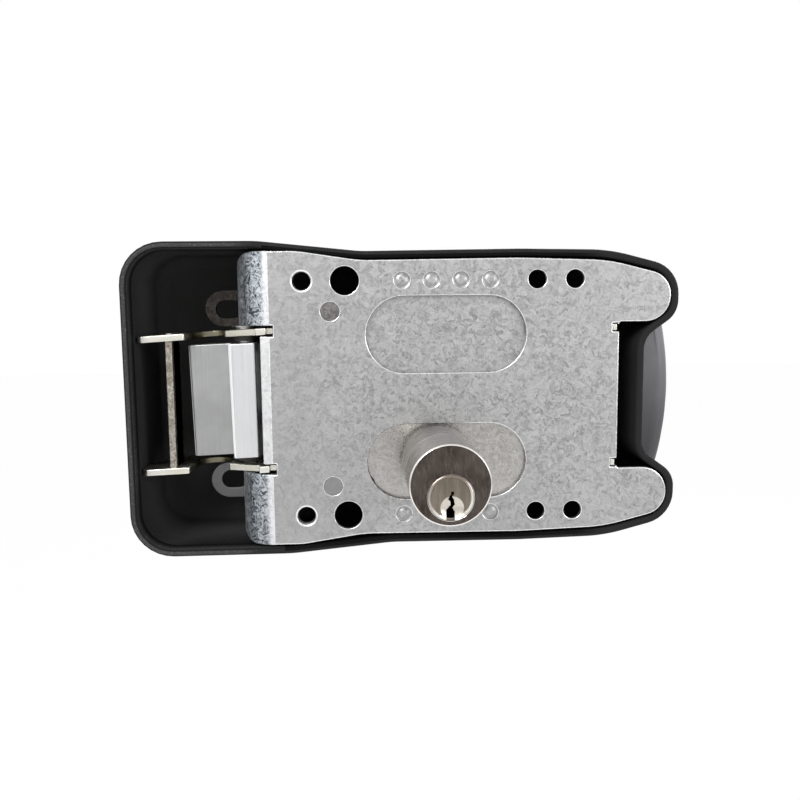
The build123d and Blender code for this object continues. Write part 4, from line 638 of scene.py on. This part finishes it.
# Ears: two pieces of angled steel sheet welded inside the rolled edge. Their slotted eyes take the screws of
# the case, and their zinc is painted dark as painted shadow, for they lie in the cover's shadow.
EAR_Y = 22.0
EAR_Z = 32.2
EAR_END = 39.4
EAR_LEFT = -88.0
EAR_RIGHT = -70.1
EAR_ROUND = 7.2
EAR_OUTLINE = [(EAR_LEFT, 25.0, EAR_ROUND), (EAR_RIGHT, MOUTH_HALF, 0.3), (EAR_RIGHT, EAR_END, 0.3),
               (EAR_LEFT, EAR_END, EAR_ROUND)]
FLANGE_SHEET = 1.85
FLANGE_TALL = 6.0
EYE_R = 3.3
bm = bmesh.new()
for side in (1, -1):
    flange = box(EAR_RIGHT - FLANGE_SHEET, EAR_RIGHT, *sorted((side * (MOUTH_HALF + 0.05), side * EAR_END)))
    add_prism(bm, flange, EAR_Y - FLANGE_TALL, EAR_Y + 0.2, edge=0.3)
    eye = box(-83.8, -74.2, side * EAR_Z - EYE_R, side * EAR_Z + EYE_R, EYE_R)
    ear = [(x, side * z, r) for x, z, r in EAR_OUTLINE][::side]
    add_prism(bm, ear, EAR_Y, EAR_Y + SHEET, holes=[eye], edge=0.35)
ear_zinc_painted_shadow = surface("ear_zinc_painted_shadow", SPANGLE, 0.0001, 1.0, Colour=(0.035, 0.031, 0.029, 1),
                         Pale=(0.065, 0.06, 0.056, 1), Dark=(0.015, 0.013, 0.012, 1), Flakes=1.0, Specks=0.8,
                         Streaks=0.2, Roughness=0.5)
ears = made(bm, "plate_ears", ear_zinc_painted_shadow)
# Painted light: the lower ear, less shaded, is painted lighter
fade(ear_zinc_painted_shadow, "Z", 10.0, -25.0, grey(0.17), 0.75)
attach(ears, "case")
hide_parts("plate_ears")


# Side plates: two punched steel plates, yellow zinc plated, standing on edge above and below the
# claw. Their left ends fork round the strike bar, and small tabs lock them into the back plate.
def drawn_metal():
    """Plated, extruded or turned metal: fine lines along one direction, and blotches of another tint."""
    tree, given, out = effect(
        "drawn_metal",
        [("Colour", "c", grey(0.5)), ("Tint", "c", grey(0.5)), ("Line Colour", "c", grey(0.3)),
         ("Line Scale", "v", (900.0, 900.0, 30.0)), ("Lines", "f", 0.4), ("Blotches", "f", 0.5),
         ("Roughness", "f", 0.35)])
    place = add_node(tree, "TexCoord").outputs["Object"]
    stretched = add_node(tree, "VectorMath", {"operation": "MULTIPLY"}, i0=place, i1=given["Line Scale"])
    lines = noise(tree, stretched.outputs[0], 1.0, 5.0, 0.7)
    blotches = spread(tree, noise(tree, place, 95.0, 4.0, 0.6), 0.42, 0.62)
    colour = tinted(tree, times(tree, blotches, given["Blotches"]), given["Colour"], given["Tint"])
    line_share = times(tree, spread(tree, lines, 0.5, 0.8), given["Lines"])
    rough = plus(tree, spread(tree, lines, 0.3, 0.7, -0.08, 0.1), given["Roughness"])
    tree.links.new(tinted(tree, line_share, colour, given["Line Colour"]), out["Colour"])
    tree.links.new(rough, out["Roughness"])
    tree.links.new(lines, out["Height"])
    return tree


def lean(piece, drop, slant=0.0):
    """The end left of the plate leans down a little, as the bent fork of this lock does."""
    slant_from = 20.0 * MM
    for vert in piece.data.vertices:
        reach = min(0.0, vert.co.x - BEND_X * MM)
        vert.co.x -= slant * vert.co.z * min(1.0, -reach / slant_from)
        vert.co.z += drop * reach


DRAWN = drawn_metal()
yellow_zinc = surface("yellow_zinc", DRAWN, 0.00005, 1.0, Colour=(0.80, 0.79, 0.74, 1),
                      Tint=(0.70, 0.67, 0.53, 1), Line_Colour=(0.44, 0.42, 0.33, 1),
                      Line_Scale=(120.0, 120.0, 900.0), Lines=0.35, Blotches=0.7, Roughness=0.30)
# Painted shade: the yellow zinc is painted dark brown deeper in, as the shade inside the case
fade(yellow_zinc, "Y", 14.0, 23.0, (0.15, 0.13, 0.07, 1), 0.85)
SIDE_PROFILE = [
    (-110.0, 7.5, 2.0), (-92.9, 7.5, 1.0), (-92.9, 26.4, 6.85), (-79.1, 26.4, 6.85), (-79.1, 10.0, 1.0),
    (-67.0, 3.2, 1.0), (-67.0, 0.6, 0.3), (-63.4, 0.6, 0.3), (-63.4, 3.5, 0.1), (-61.05, 3.5, 0.1),
    (-61.05, 2.05, 0.1), (-52.0, 2.05, 0.3),
    (-52.0, 11.0, 3.0), (52.0, 11.0, 3.0), (52.0, 2.0, 0.3), (59.75, 2.0, 0.1), (59.75, 0.6, 0.3),
    (61.3, 0.6, 0.3), (61.3, 33.0, 0.3), (34.0, 33.0, 0.1), (34.0, 35.2, 0.5), (26.0, 35.2, 0.5),
    (26.0, 33.0, 0.1), (-22.0, 33.0, 0.1), (-22.0, 35.2, 0.5), (-30.0, 35.2, 0.5), (-30.0, 33.0, 0.1),
    (-41.0, 33.0, 0.3), (-41.0, 36.5, 1.0), (-70.0, 36.5, 10.0), (-97.0, 33.5, 10.0), (-110.0, 20.5, 5.0)]
SIDE_Z = 24.5
SIDE_HALF = 1.2
FIT = 0.02
CLAW_AXLE = (-72.0, 17.5)
PAWL_AXLE = (-49.0055, 29.6276)
SPACERS = [(20.0, 24.2), (50.0, 20.0)]
TIE_LEFT = -100.25
TIE_RIGHT = -97.75
SHARED_HOLES = [circle(*CLAW_AXLE, 4.0 + FIT), circle(*PAWL_AXLE, 3.0 + FIT)]
SHARED_HOLES += [circle(x, y, 2.5 + FIT) for x, y in SPACERS]
SHARED_HOLES += [box(TIE_LEFT - FIT, TIE_RIGHT + FIT, 11.0, 21.0, 0.2)]
FRAME_SCREW_HOLES = [circle(x, 22.0, 1.5 + FIT) for x in (-22.0, -4.0)]
GUIDE_PIN_HOLES = [circle(x, 14.5, 2.0 + FIT) for x in (-38.0, 22.0)]
for name, z, drop, node, holes in (
        ("upper_side_plate_sheet", SIDE_Z, 0.06, "upper_side_plate", FRAME_SCREW_HOLES),
        ("lower_side_plate_sheet", -SIDE_Z, 0.04, "lower_side_plate", GUIDE_PIN_HOLES)):
    bm = bmesh.new()
    add_prism(bm, SIDE_PROFILE, z - SIDE_HALF, z + SIDE_HALF, "Z", SHARED_HOLES + holes, 0.35)
    side_plate = made(bm, name, yellow_zinc)
    lean(side_plate, drop)
    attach(side_plate, "case")
    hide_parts(node)

# Fork tie bar: a flat steel bar near the fork's tips. Its narrow ends go through both side plates
# and are riveted over, and its zinc is stained and speckled.
SIDE_INNER = SIDE_Z - SIDE_HALF
SIDE_OUTER = SIDE_Z + SIDE_HALF
bm = bmesh.new()
add_prism(bm, box(9.0, 23.0, -SIDE_INNER, SIDE_INNER), TIE_LEFT, TIE_RIGHT, "X", edge=0.4)
add_prism(bm, box(11.05, 20.95, -SIDE_OUTER, SIDE_OUTER), TIE_LEFT, TIE_RIGHT, "X", edge=0.3)
speckled_zinc = surface("speckled_zinc", SPANGLE, 0.00008, 1.0, Colour=(0.33, 0.30, 0.26, 1),
                        Pale=(0.52, 0.50, 0.45, 1), Dark=(0.10, 0.08, 0.05, 1), Flakes=1.2, Specks=1.0,
                        Streaks=0.3, Roughness=0.38)
tie_bar = made(bm, "fork_tie_bar_steel", speckled_zinc)
lean(tie_bar, 0.05)
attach(tie_bar, "case")
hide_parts("fork_tie_bar")

# Claw: a length of extruded aluminium with a hub, a leg behind the mouth and a lip in front of
# it. The press has left fine lines along its length, and its ends are sawn.
CLAW_HALF = 20.6
CLAW_BORE_R = 4.06
HUB_R = 10.5
EXTRUDED = (1100.0, 1100.0, 14.0)
bright_aluminium = surface("bright_aluminium", DRAWN, 0.00004, 1.0, Colour=(0.42, 0.422, 0.425, 1),
                           Tint=(0.36, 0.362, 0.365, 1), Line_Colour=(0.24, 0.242, 0.246, 1),
                           Line_Scale=EXTRUDED, Lines=0.7, Blotches=0.8, Roughness=0.36)
lip_painted_highlight = surface("lip_painted_highlight", DRAWN, 0.00004, 1.0, Colour=(0.72, 0.725, 0.735, 1),
                        Tint=(0.66, 0.665, 0.675, 1), Line_Colour=(0.45, 0.453, 0.46, 1),
                        Line_Scale=EXTRUDED, Lines=0.4, Blotches=0.4, Roughness=0.34)
hub = [(CLAW_AXLE[0] + HUB_R * cos(radians(angle)), CLAW_AXLE[1] + HUB_R * sin(radians(angle)), 0.02)
       for angle in range(-33, 22, 3)]
CLAW_PROFILE = [(-92.6, 14.3, 1.2), (-77.2, 14.3, 1.8), (-76.7, 4.4, 1.3), (-67.5, 4.4, 1.0),
                (-66.2, 10.6, 1.0)] + hub
CLAW_PROFILE += [(-65.0, 21.6, 1.5), (-69.5, 25.0, 3.5), (-77.0, 24.2, 3.0), (-79.4, 20.3, 1.5),
                 (-92.6, 20.3, 2.0)]
bm = bmesh.new()
add_prism(bm, CLAW_PROFILE, -CLAW_HALF, CLAW_HALF, "Z", [circle(*CLAW_AXLE, CLAW_BORE_R)], 0.45)
claw = made(bm, "claw_extrusion", bright_aluminium)
# The lip and the claw's front edges are painted brighter than its flat face, as painted highlights where they
# catch the light
second(claw, lip_painted_highlight, lambda at, normal: at.x > -77.2 and at.y < 12)
lip_edge_painted_highlight = surface("lip_edge_painted_highlight", DRAWN, 0.00003, 0.15, Colour=(0.86, 0.86, 0.87, 1),
                   Tint=(0.78, 0.78, 0.79, 1), Line_Colour=grey(0.6), Line_Scale=EXTRUDED, Lines=0.3,
                   Blotches=0.4, Roughness=0.5)
second(claw, lip_edge_painted_highlight, lambda at, normal: normal.y < -0.2 and normal.x < (-0.3 if at.x > -80 else -0.66) and
       at.x < -75)
lean(claw, 0.04, 0.025)
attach(claw, "claw")
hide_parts("claw")


# Axles, pins, levers and springs: turned steel pins, stamped levers, bronze key pins and steel
# springs from stock. Their CAD shape is right, so that they only get their finish here.
def dress(node, material):
    """A node that keeps its CAD mesh gets this material on all its faces."""
    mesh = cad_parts[node].data
    mesh.materials.clear()
    mesh.materials.append(material)
    for face in mesh.polygons:
        face.material_index = 0


plain_steel = surface("plain_steel", DRAWN, 0.00003, 1.0, Colour=(0.50, 0.50, 0.51, 1),
                      Tint=(0.38, 0.37, 0.36, 1), Line_Colour=grey(0.24),
                      Line_Scale=(260.0, 1200.0, 260.0), Lines=0.4, Blotches=0.4, Roughness=0.34)
for node in ("claw_axle", "cross_spacers", "pawl_axle", "pawl", "guide_pins", "solenoid_frame",
             "solenoid_core", "armature", "plug_cam"):
    dress(node, plain_steel)
phosphated_steel = surface("phosphated_steel", DRAWN, 0.00003, 1.0, Colour=(0.06, 0.058, 0.055, 1),
                           Tint=(0.045, 0.043, 0.04, 1), Line_Colour=(0.1, 0.095, 0.09, 1),
                           Line_Scale=(200.0, 200.0, 1400.0), Lines=0.4, Blotches=0.5, Roughness=0.5)
dress("claw_bushes", phosphated_steel)
turned_bronze = surface("turned_bronze", DRAWN, 0.00003, 1.0, Colour=(0.62, 0.45, 0.22, 1),
                        Tint=(0.48, 0.32, 0.14, 1), Line_Colour=(0.34, 0.22, 0.10, 1),
                        Line_Scale=(200.0, 200.0, 1400.0), Lines=0.5, Blotches=0.6, Roughness=0.30)
for node in ("key_pins", "driver_pins"):
    dress(node, turned_bronze)
spring_wire = surface("spring_wire", DRAWN, 0.00002, 1.0, Colour=(0.56, 0.57, 0.59, 1),
                      Tint=(0.42, 0.42, 0.43, 1), Line_Colour=(0.25, 0.25, 0.26, 1),
                      Line_Scale=(400.0, 400.0, 400.0), Lines=0.3, Blotches=0.5, Roughness=0.28)
for node in ("claw_spring", "bar_springs", "button_spring"):
    dress(node, spring_wire)
for node in ("release_bar", "frame_screws", "terminal_screws", "cover_screws", "grip_screws"):
    dress(node, yellow_zinc)

# Solenoid: enamelled copper wire wound in close turns on a bobbin of grey nylon. It sits in the
# bent steel frame that is screwed under the upper side plate.
grey_nylon = surface("grey_nylon", GRAIN, 0.00008, Colour=(0.195, 0.195, 0.208, 1),
                     Rubbed=(0.24, 0.24, 0.25, 1), Grain=1300.0, Roughness=0.42)
# Painted shade: the grey nylon is painted darker towards the bottom
fade(grey_nylon, "Z", 28.0, -26.0, (0.052, 0.052, 0.056, 1), 0.95)
copper_turns = surface("copper_turns", DRAWN, 0.00035, 1.0, Colour=(0.62, 0.26, 0.12, 1),
                       Tint=(0.50, 0.18, 0.08, 1), Line_Colour=(0.20, 0.07, 0.03, 1),
                       Line_Scale=(2400.0, 40.0, 40.0), Lines=0.8, Blotches=0.3, Roughness=0.30)
dress("coil_winding", copper_turns)
dress("coil_bobbin", grey_nylon)

# Leads, terminals and exit switch: stock parts on the galvanised mechanism plate. The leads are
# soft red plastic, the terminal block is green, and the switch sits under the push button.
lead_plastic = surface("lead_plastic", GRAIN, 0.00003, Colour=(0.42, 0.02, 0.015, 1),
                       Rubbed=(0.5, 0.06, 0.05, 1), Grain=900.0, Roughness=0.40)
green_plastic = surface("green_plastic", GRAIN, 0.00004, Colour=(0.02, 0.14, 0.05, 1),
                        Rubbed=(0.05, 0.2, 0.09, 1), Grain=1200.0, Roughness=0.45)
dress("coil_leads", lead_plastic)
dress("switch_plunger", lead_plastic)
dress("terminal_block", green_plastic)
dress("exit_switch", black_nylon)
dress("mechanism_plate", galvanised)

# Slot plates: sheet steel that closes both long slots from inside. The lower one carries the
# cylinder, slides with it, and has been rubbed bright and slightly brown round it.
dress("upper_slot_plate", galvanised)
rubbed_carrier = surface("rubbed_carrier", SPANGLE, 0.00004, 1.0, Colour=(0.50, 0.485, 0.465, 1),
                         Pale=(0.62, 0.61, 0.595, 1), Dark=(0.30, 0.275, 0.25, 1), Flakes=0.45, Specks=0.15,
                         Streaks=0.12, Roughness=0.26)
dress("carrier_plate", rubbed_carrier)
dress("cylinder_screws", plain_steel)

# Cover posts: steel posts whose ends are riveted flush into the back plate beside the mouth, and
# that take the cover's screws. The rivet heads are plain steel, darker than the plate round them.
rivet_steel = surface("rivet_steel", SPANGLE, 0.00006, 1.0, Colour=(0.205, 0.193, 0.184, 1),
                      Pale=(0.31, 0.30, 0.29, 1), Dark=(0.10, 0.09, 0.085, 1), Flakes=0.7, Specks=0.2,
                      Streaks=0.1, Roughness=0.40)
fade(rivet_steel, "Z", 10.0, -10.0, grey(0.30), 0.8)
dress("cover_posts", rivet_steel)

# Key cylinder: brass bar turned to 26 mm and plated in satin nickel, with a chamfer round its face that is
# painted bright as a highlight. The face is left bare. The plug turns below its middle, in a bright raised
# ring.
CYL_X = -3.4
CYL_Z = -22.6
CYL_R = 13.0
CYL_OUT = -40.3
# A fine groove turned round the side, half way out
GROOVE = (-20.6, -20.0)
PLUG_Z = -26.5
BORE_R = 6.6
nickel_side = surface("nickel_side", DRAWN, 0.00003, 1.0, Colour=(0.27, 0.235, 0.215, 1),
                      Tint=(0.21, 0.175, 0.16, 1), Line_Colour=(0.60, 0.55, 0.51, 1),
                      Line_Scale=(60.0, 1500.0, 60.0), Lines=0.5, Blotches=0.5, Roughness=0.26)
# Painted reflection and highlight: the side is painted lighter near the plate, as the plate's reflection, and
# lighter along its top
fade(nickel_side, "Y", -26.0, -17.0, (0.56, 0.54, 0.52, 1), 0.6)
fade(nickel_side, "Z", -17.5, -12.0, (0.62, 0.60, 0.58, 1), 0.4)
nickel_face = surface("nickel_face", DRAWN, 0.00003, 1.0, Colour=(0.090, 0.075, 0.066, 1),
                      Tint=(0.050, 0.040, 0.034, 1), Line_Colour=(0.19, 0.165, 0.15, 1),
                      Line_Scale=(1100.0, 50.0, 260.0), Lines=0.7, Blotches=1.0, Roughness=0.38)
ring_painted_highlight = surface("ring_painted_highlight", DRAWN, 0.00002, 1.0, Colour=(0.86, 0.83, 0.80, 1),
                      Tint=(0.74, 0.70, 0.66, 1), Line_Colour=(0.5, 0.46, 0.43, 1),
                      Line_Scale=(80.0, 900.0, 80.0), Lines=0.25, Blotches=0.4, Roughness=0.22)
bm = bmesh.new()
turned = circle(CYL_X, CYL_Z, CYL_R)
add_loops(bm, turned, [(0, SHEET), (0, GROOVE[1]), (0, GROOVE[0]), (0, CYL_OUT + 0.42),
                       (0.05, CYL_OUT + 0.32), (0.36, CYL_OUT + 0.04)], steps=16)
face_out = add_loops(bm, turned, [(0.36, CYL_OUT + 0.04), (0.46, CYL_OUT)], steps=16)[1]
bore_in, bore_out = add_loops(bm, circle(CYL_X, PLUG_Z, BORE_R),
                              [(0, SHEET), (0, CYL_OUT + 1.0), (-0.74, CYL_OUT + 1.0),
                               (-0.74, CYL_OUT + 0.1), (-0.85, CYL_OUT)], steps=16)
close_flat(bm, face_out, bore_out)
back_loop = add_loops(bm, turned, [(0, SHEET - 0.01), (0, SHEET)], steps=16)[1]
close_flat(bm, back_loop, bore_in)
cylinder = made(bm, "cylinder_shell", nickel_side, 30)
second(cylinder, nickel_face, lambda at, normal: abs(normal.y) > 0.97 and at.y < CYL_OUT + 0.3)
# Painted highlight: the chamfer and the upper left of the side groove are painted near white
second(cylinder, ring_painted_highlight, lambda at, normal: 0.15 < abs(normal.y) < 0.97 and at.y < CYL_OUT + 0.7 or
       GROOVE[0] < at.y < GROOVE[1] and at.x < CYL_X - 5 and at.z > CYL_Z - 6)
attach(cylinder, "cylinder")
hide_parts("cylinder_body")

# Plug: its face has a rounded bright rim, a scooped lower half and a zig-zag keyway that shows
# the brass of the pins. The key's blade goes about 30 mm deep.
def carve(piece, cutters, smooth=34):
    """Cut the shapes of other objects out of a piece, and remove them."""
    piece.modifiers.clear()
    for cutter in cutters:
        cut = piece.modifiers.new("cut", "BOOLEAN")
        cut.operation = "DIFFERENCE"
        cut.solver = "EXACT"
        cut.material_mode = "TRANSFER"
        cut.object = cutter
    bpy.context.view_layer.update()
    mesh = bpy.data.meshes.new_from_object(piece.evaluated_get(bpy.context.evaluated_depsgraph_get()))
    piece.modifiers.clear()
    piece.data = mesh
    bm = bmesh.new()
    bm.from_mesh(mesh)
    bmesh.ops.dissolve_limit(bm, angle_limit=radians(0.5), verts=bm.verts, edges=bm.edges,
                             delimit={"MATERIAL"})
    bm.to_mesh(mesh)
    bm.free()
    mesh.shade_smooth()
    for cutter in cutters:
        bpy.data.objects.remove(cutter)
    mesh.set_sharp_from_angle(angle=radians(smooth))
    keep_flats(piece)


plug_face = surface("plug_face", DRAWN, 0.00003, 1.0, Colour=(0.215, 0.185, 0.145, 1),
                    Tint=(0.16, 0.135, 0.105, 1), Line_Colour=(0.42, 0.38, 0.35, 1),
                    Line_Scale=(1200.0, 40.0, 80.0), Lines=0.4, Blotches=0.6, Roughness=0.34)
scooped_face = surface("scooped_face", DRAWN, 0.00002, 1.0, Colour=(0.62, 0.58, 0.52, 1),
                       Tint=(0.50, 0.46, 0.41, 1), Line_Colour=(0.40, 0.36, 0.32, 1),
                       Line_Scale=(900.0, 60.0, 80.0), Lines=0.35, Blotches=0.5, Roughness=0.30)
# Painted shade: the keyway's walls are painted dark as the shade inside it; their upper part is tinted brass
# for the pins
keyway_painted_shade = surface("keyway_painted_shade", DRAWN, 0.00002, 1.0, Colour=(0.055, 0.045, 0.035, 1),
                   Tint=(0.035, 0.03, 0.025, 1), Line_Colour=(0.10, 0.08, 0.06, 1),
                   Line_Scale=(300.0, 40.0, 300.0), Lines=0.4, Blotches=0.5, Roughness=0.45)
fade(keyway_painted_shade, "Z", -27.4, -25.2, (0.42, 0.29, 0.13, 1), 0.65)
PLUG_FACE = CYL_OUT + 0.45
PLUG_R = 7.3
SCOOP_R = 8.06
SCOOP_DEEP = 0.9
SCOOP_MIDDLE = (CYL_X + 0.45, PLUG_FACE + SCOOP_DEEP - SCOOP_R, PLUG_Z - 3.3)
KEY_DEEP = 30.0
KEYWAY = [(0.1, 1.9), (1.0, 1.9), (1.1, 1.2), (0.4, 0.4), (1.1, -0.9), (1.3, -2.4), (0.6, -3.4), (1.3, -4.8),
          (1.2, -7.6), (-1.4, -7.6), (-1.4, -4.0), (-0.6, -3.2), (0.0, -2.6), (0.0, -1.5), (-0.7, -0.6),
          (-0.4, 0.5), (0.1, 1.0)]
bm = bmesh.new()
add_solid(bm, circle(CYL_X, PLUG_Z, PLUG_R), [
    (1.05, PLUG_FACE), (1.0, CYL_OUT + 0.2), (0.85, CYL_OUT + 0.05), (0.6, CYL_OUT), (0.35, CYL_OUT + 0.02),
    (0.12, CYL_OUT + 0.15), (0.02, CYL_OUT + 0.4), (0, CYL_OUT + 0.95), (0.8, CYL_OUT + 0.95),
    (0.8, 5.8)], steps=16)
plug_ring = surface("plug_ring", DRAWN, 0.00002, 1.0, Colour=(0.84, 0.81, 0.77, 1),
                    Tint=(0.72, 0.68, 0.63, 1), Line_Colour=(0.5, 0.46, 0.42, 1),
                    Line_Scale=(80.0, 900.0, 80.0), Lines=0.3, Blotches=0.4, Roughness=0.24)
# Painted shade: the plug's ring is painted darker over its top and on its left
SHADED_RING = (0.20, 0.155, 0.13, 1)
fade(plug_ring, "Z", PLUG_Z, -21.0, SHADED_RING, 0.9)
fade(plug_ring, "X", -6.5, -10.5, SHADED_RING, 0.55)
plug = made(bm, "plug_barrel", plug_ring, 40)
second(plug, plug_face, lambda at, normal: abs(at.y - PLUG_FACE) < 0.02 and abs(normal.y) > 0.9)
bm = bmesh.new()
bmesh.ops.create_uvsphere(bm, u_segments=96, v_segments=64, radius=SCOOP_R * MM,
                          matrix=Matrix.Translation(Vector(SCOOP_MIDDLE) * MM))
scoop = made(bm, "scoop", scooped_face)
bm = bmesh.new()
add_solid(bm, [(CYL_X + x, PLUG_Z + z, 0.12) for x, z in KEYWAY],
          [(0, CYL_OUT - 2.0), (0, CYL_OUT + KEY_DEEP)], steps=2)
key_slot = made(bm, "key_slot", keyway_painted_shade)
carve(plug, [scoop, key_slot], 18)
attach(plug, "plug")
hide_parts("cylinder_plug")

# Push button: a moulded cap of grey nylon with a shallow dish, which stands 2.5 mm out of the
# cover's front. A collar behind the cover keeps it in, and a stem in its middle meets the switch.
BUTTON_R = 13.5
BUTTON_BACK = 44.2
BUTTON_FACE = 51.5
BUTTON_WALL = 1.6
STEM_R = 2.5
cap_wall = [(-1.9, BUTTON_BACK), (-2.0, 44.3), (-2.0, 45.6), (-1.9, 45.7), (0, 45.7), (0, 50.3),
            (0.2, 51.0), (0.7, 51.4), (1.3, BUTTON_FACE), (1.9, 51.45), (3.5, 51.1), (6.5, 50.8),
            (10.0, 50.7)]
bm = bmesh.new()
low, high = add_loops(bm, circle(*BUTTON_PLACE, BUTTON_R), cap_wall, steps=14)
close_flat(bm, high)
inside_low, inside_high = add_loops(bm, circle(*BUTTON_PLACE, BUTTON_R),
                                    [(BUTTON_WALL, BUTTON_BACK), (BUTTON_WALL, 49.3)], steps=14)
close_flat(bm, low, inside_low)
close_flat(bm, inside_high)
add_prism(bm, circle(*BUTTON_PLACE, STEM_R), 42.3, 49.6, edge=0.3)
button = made(bm, "push_button_cap", grey_nylon, 40)
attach(button, "button")
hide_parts("push_button")

# Grip: a grey nylon shell screwed over the cover's front right end. It overhangs the finger
# recess, so that the gate can be pulled by it.
GRIP_TOP = [(60.0, 44.0, 8.0), (83.6, 44.0, 8.0), (86.4, 36.0, 50.0), (89.5, 24.0, 90.0),
            (91.3, 12.0, 90.0)]
GRIP_OUTLINE = GRIP_TOP + [(91.9, 0.0, 90.0)] + [(x, -z, r) for x, z, r in reversed(GRIP_TOP)]
GRIP_BACK = 27.0
GRIP_FRONT = 53.0
GRIP_BACK_ROUND = 5.0
GRIP_FRONT_ROUND = 3.5
GRIP_GAP = 0.35
finer = quarter_turn(14)
grip_wall = [(GRIP_BACK_ROUND * (1 - sin(t)), GRIP_BACK + GRIP_BACK_ROUND * (1 - cos(t))) for t in finer]
grip_wall += [(GRIP_FRONT_ROUND * (1 - cos(t)), GRIP_FRONT - GRIP_FRONT_ROUND * (1 - sin(t)))
              for t in finer]
bm = bmesh.new()
add_solid(bm, GRIP_OUTLINE, grip_wall, steps=12)
grip = made(bm, "grip_shell", grey_nylon, 60)

# The cover's own outline, a little larger, is cut out of the grip
bm = bmesh.new()
add_solid(bm, COVER_RIM, [(-GRIP_GAP, -5.0), (-GRIP_GAP, COVER_DEPTH)])
cover_room = made(bm, "cover_room", grey_nylon)
carve(grip, [cover_room], 25)
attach(grip, "case")
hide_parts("grip")
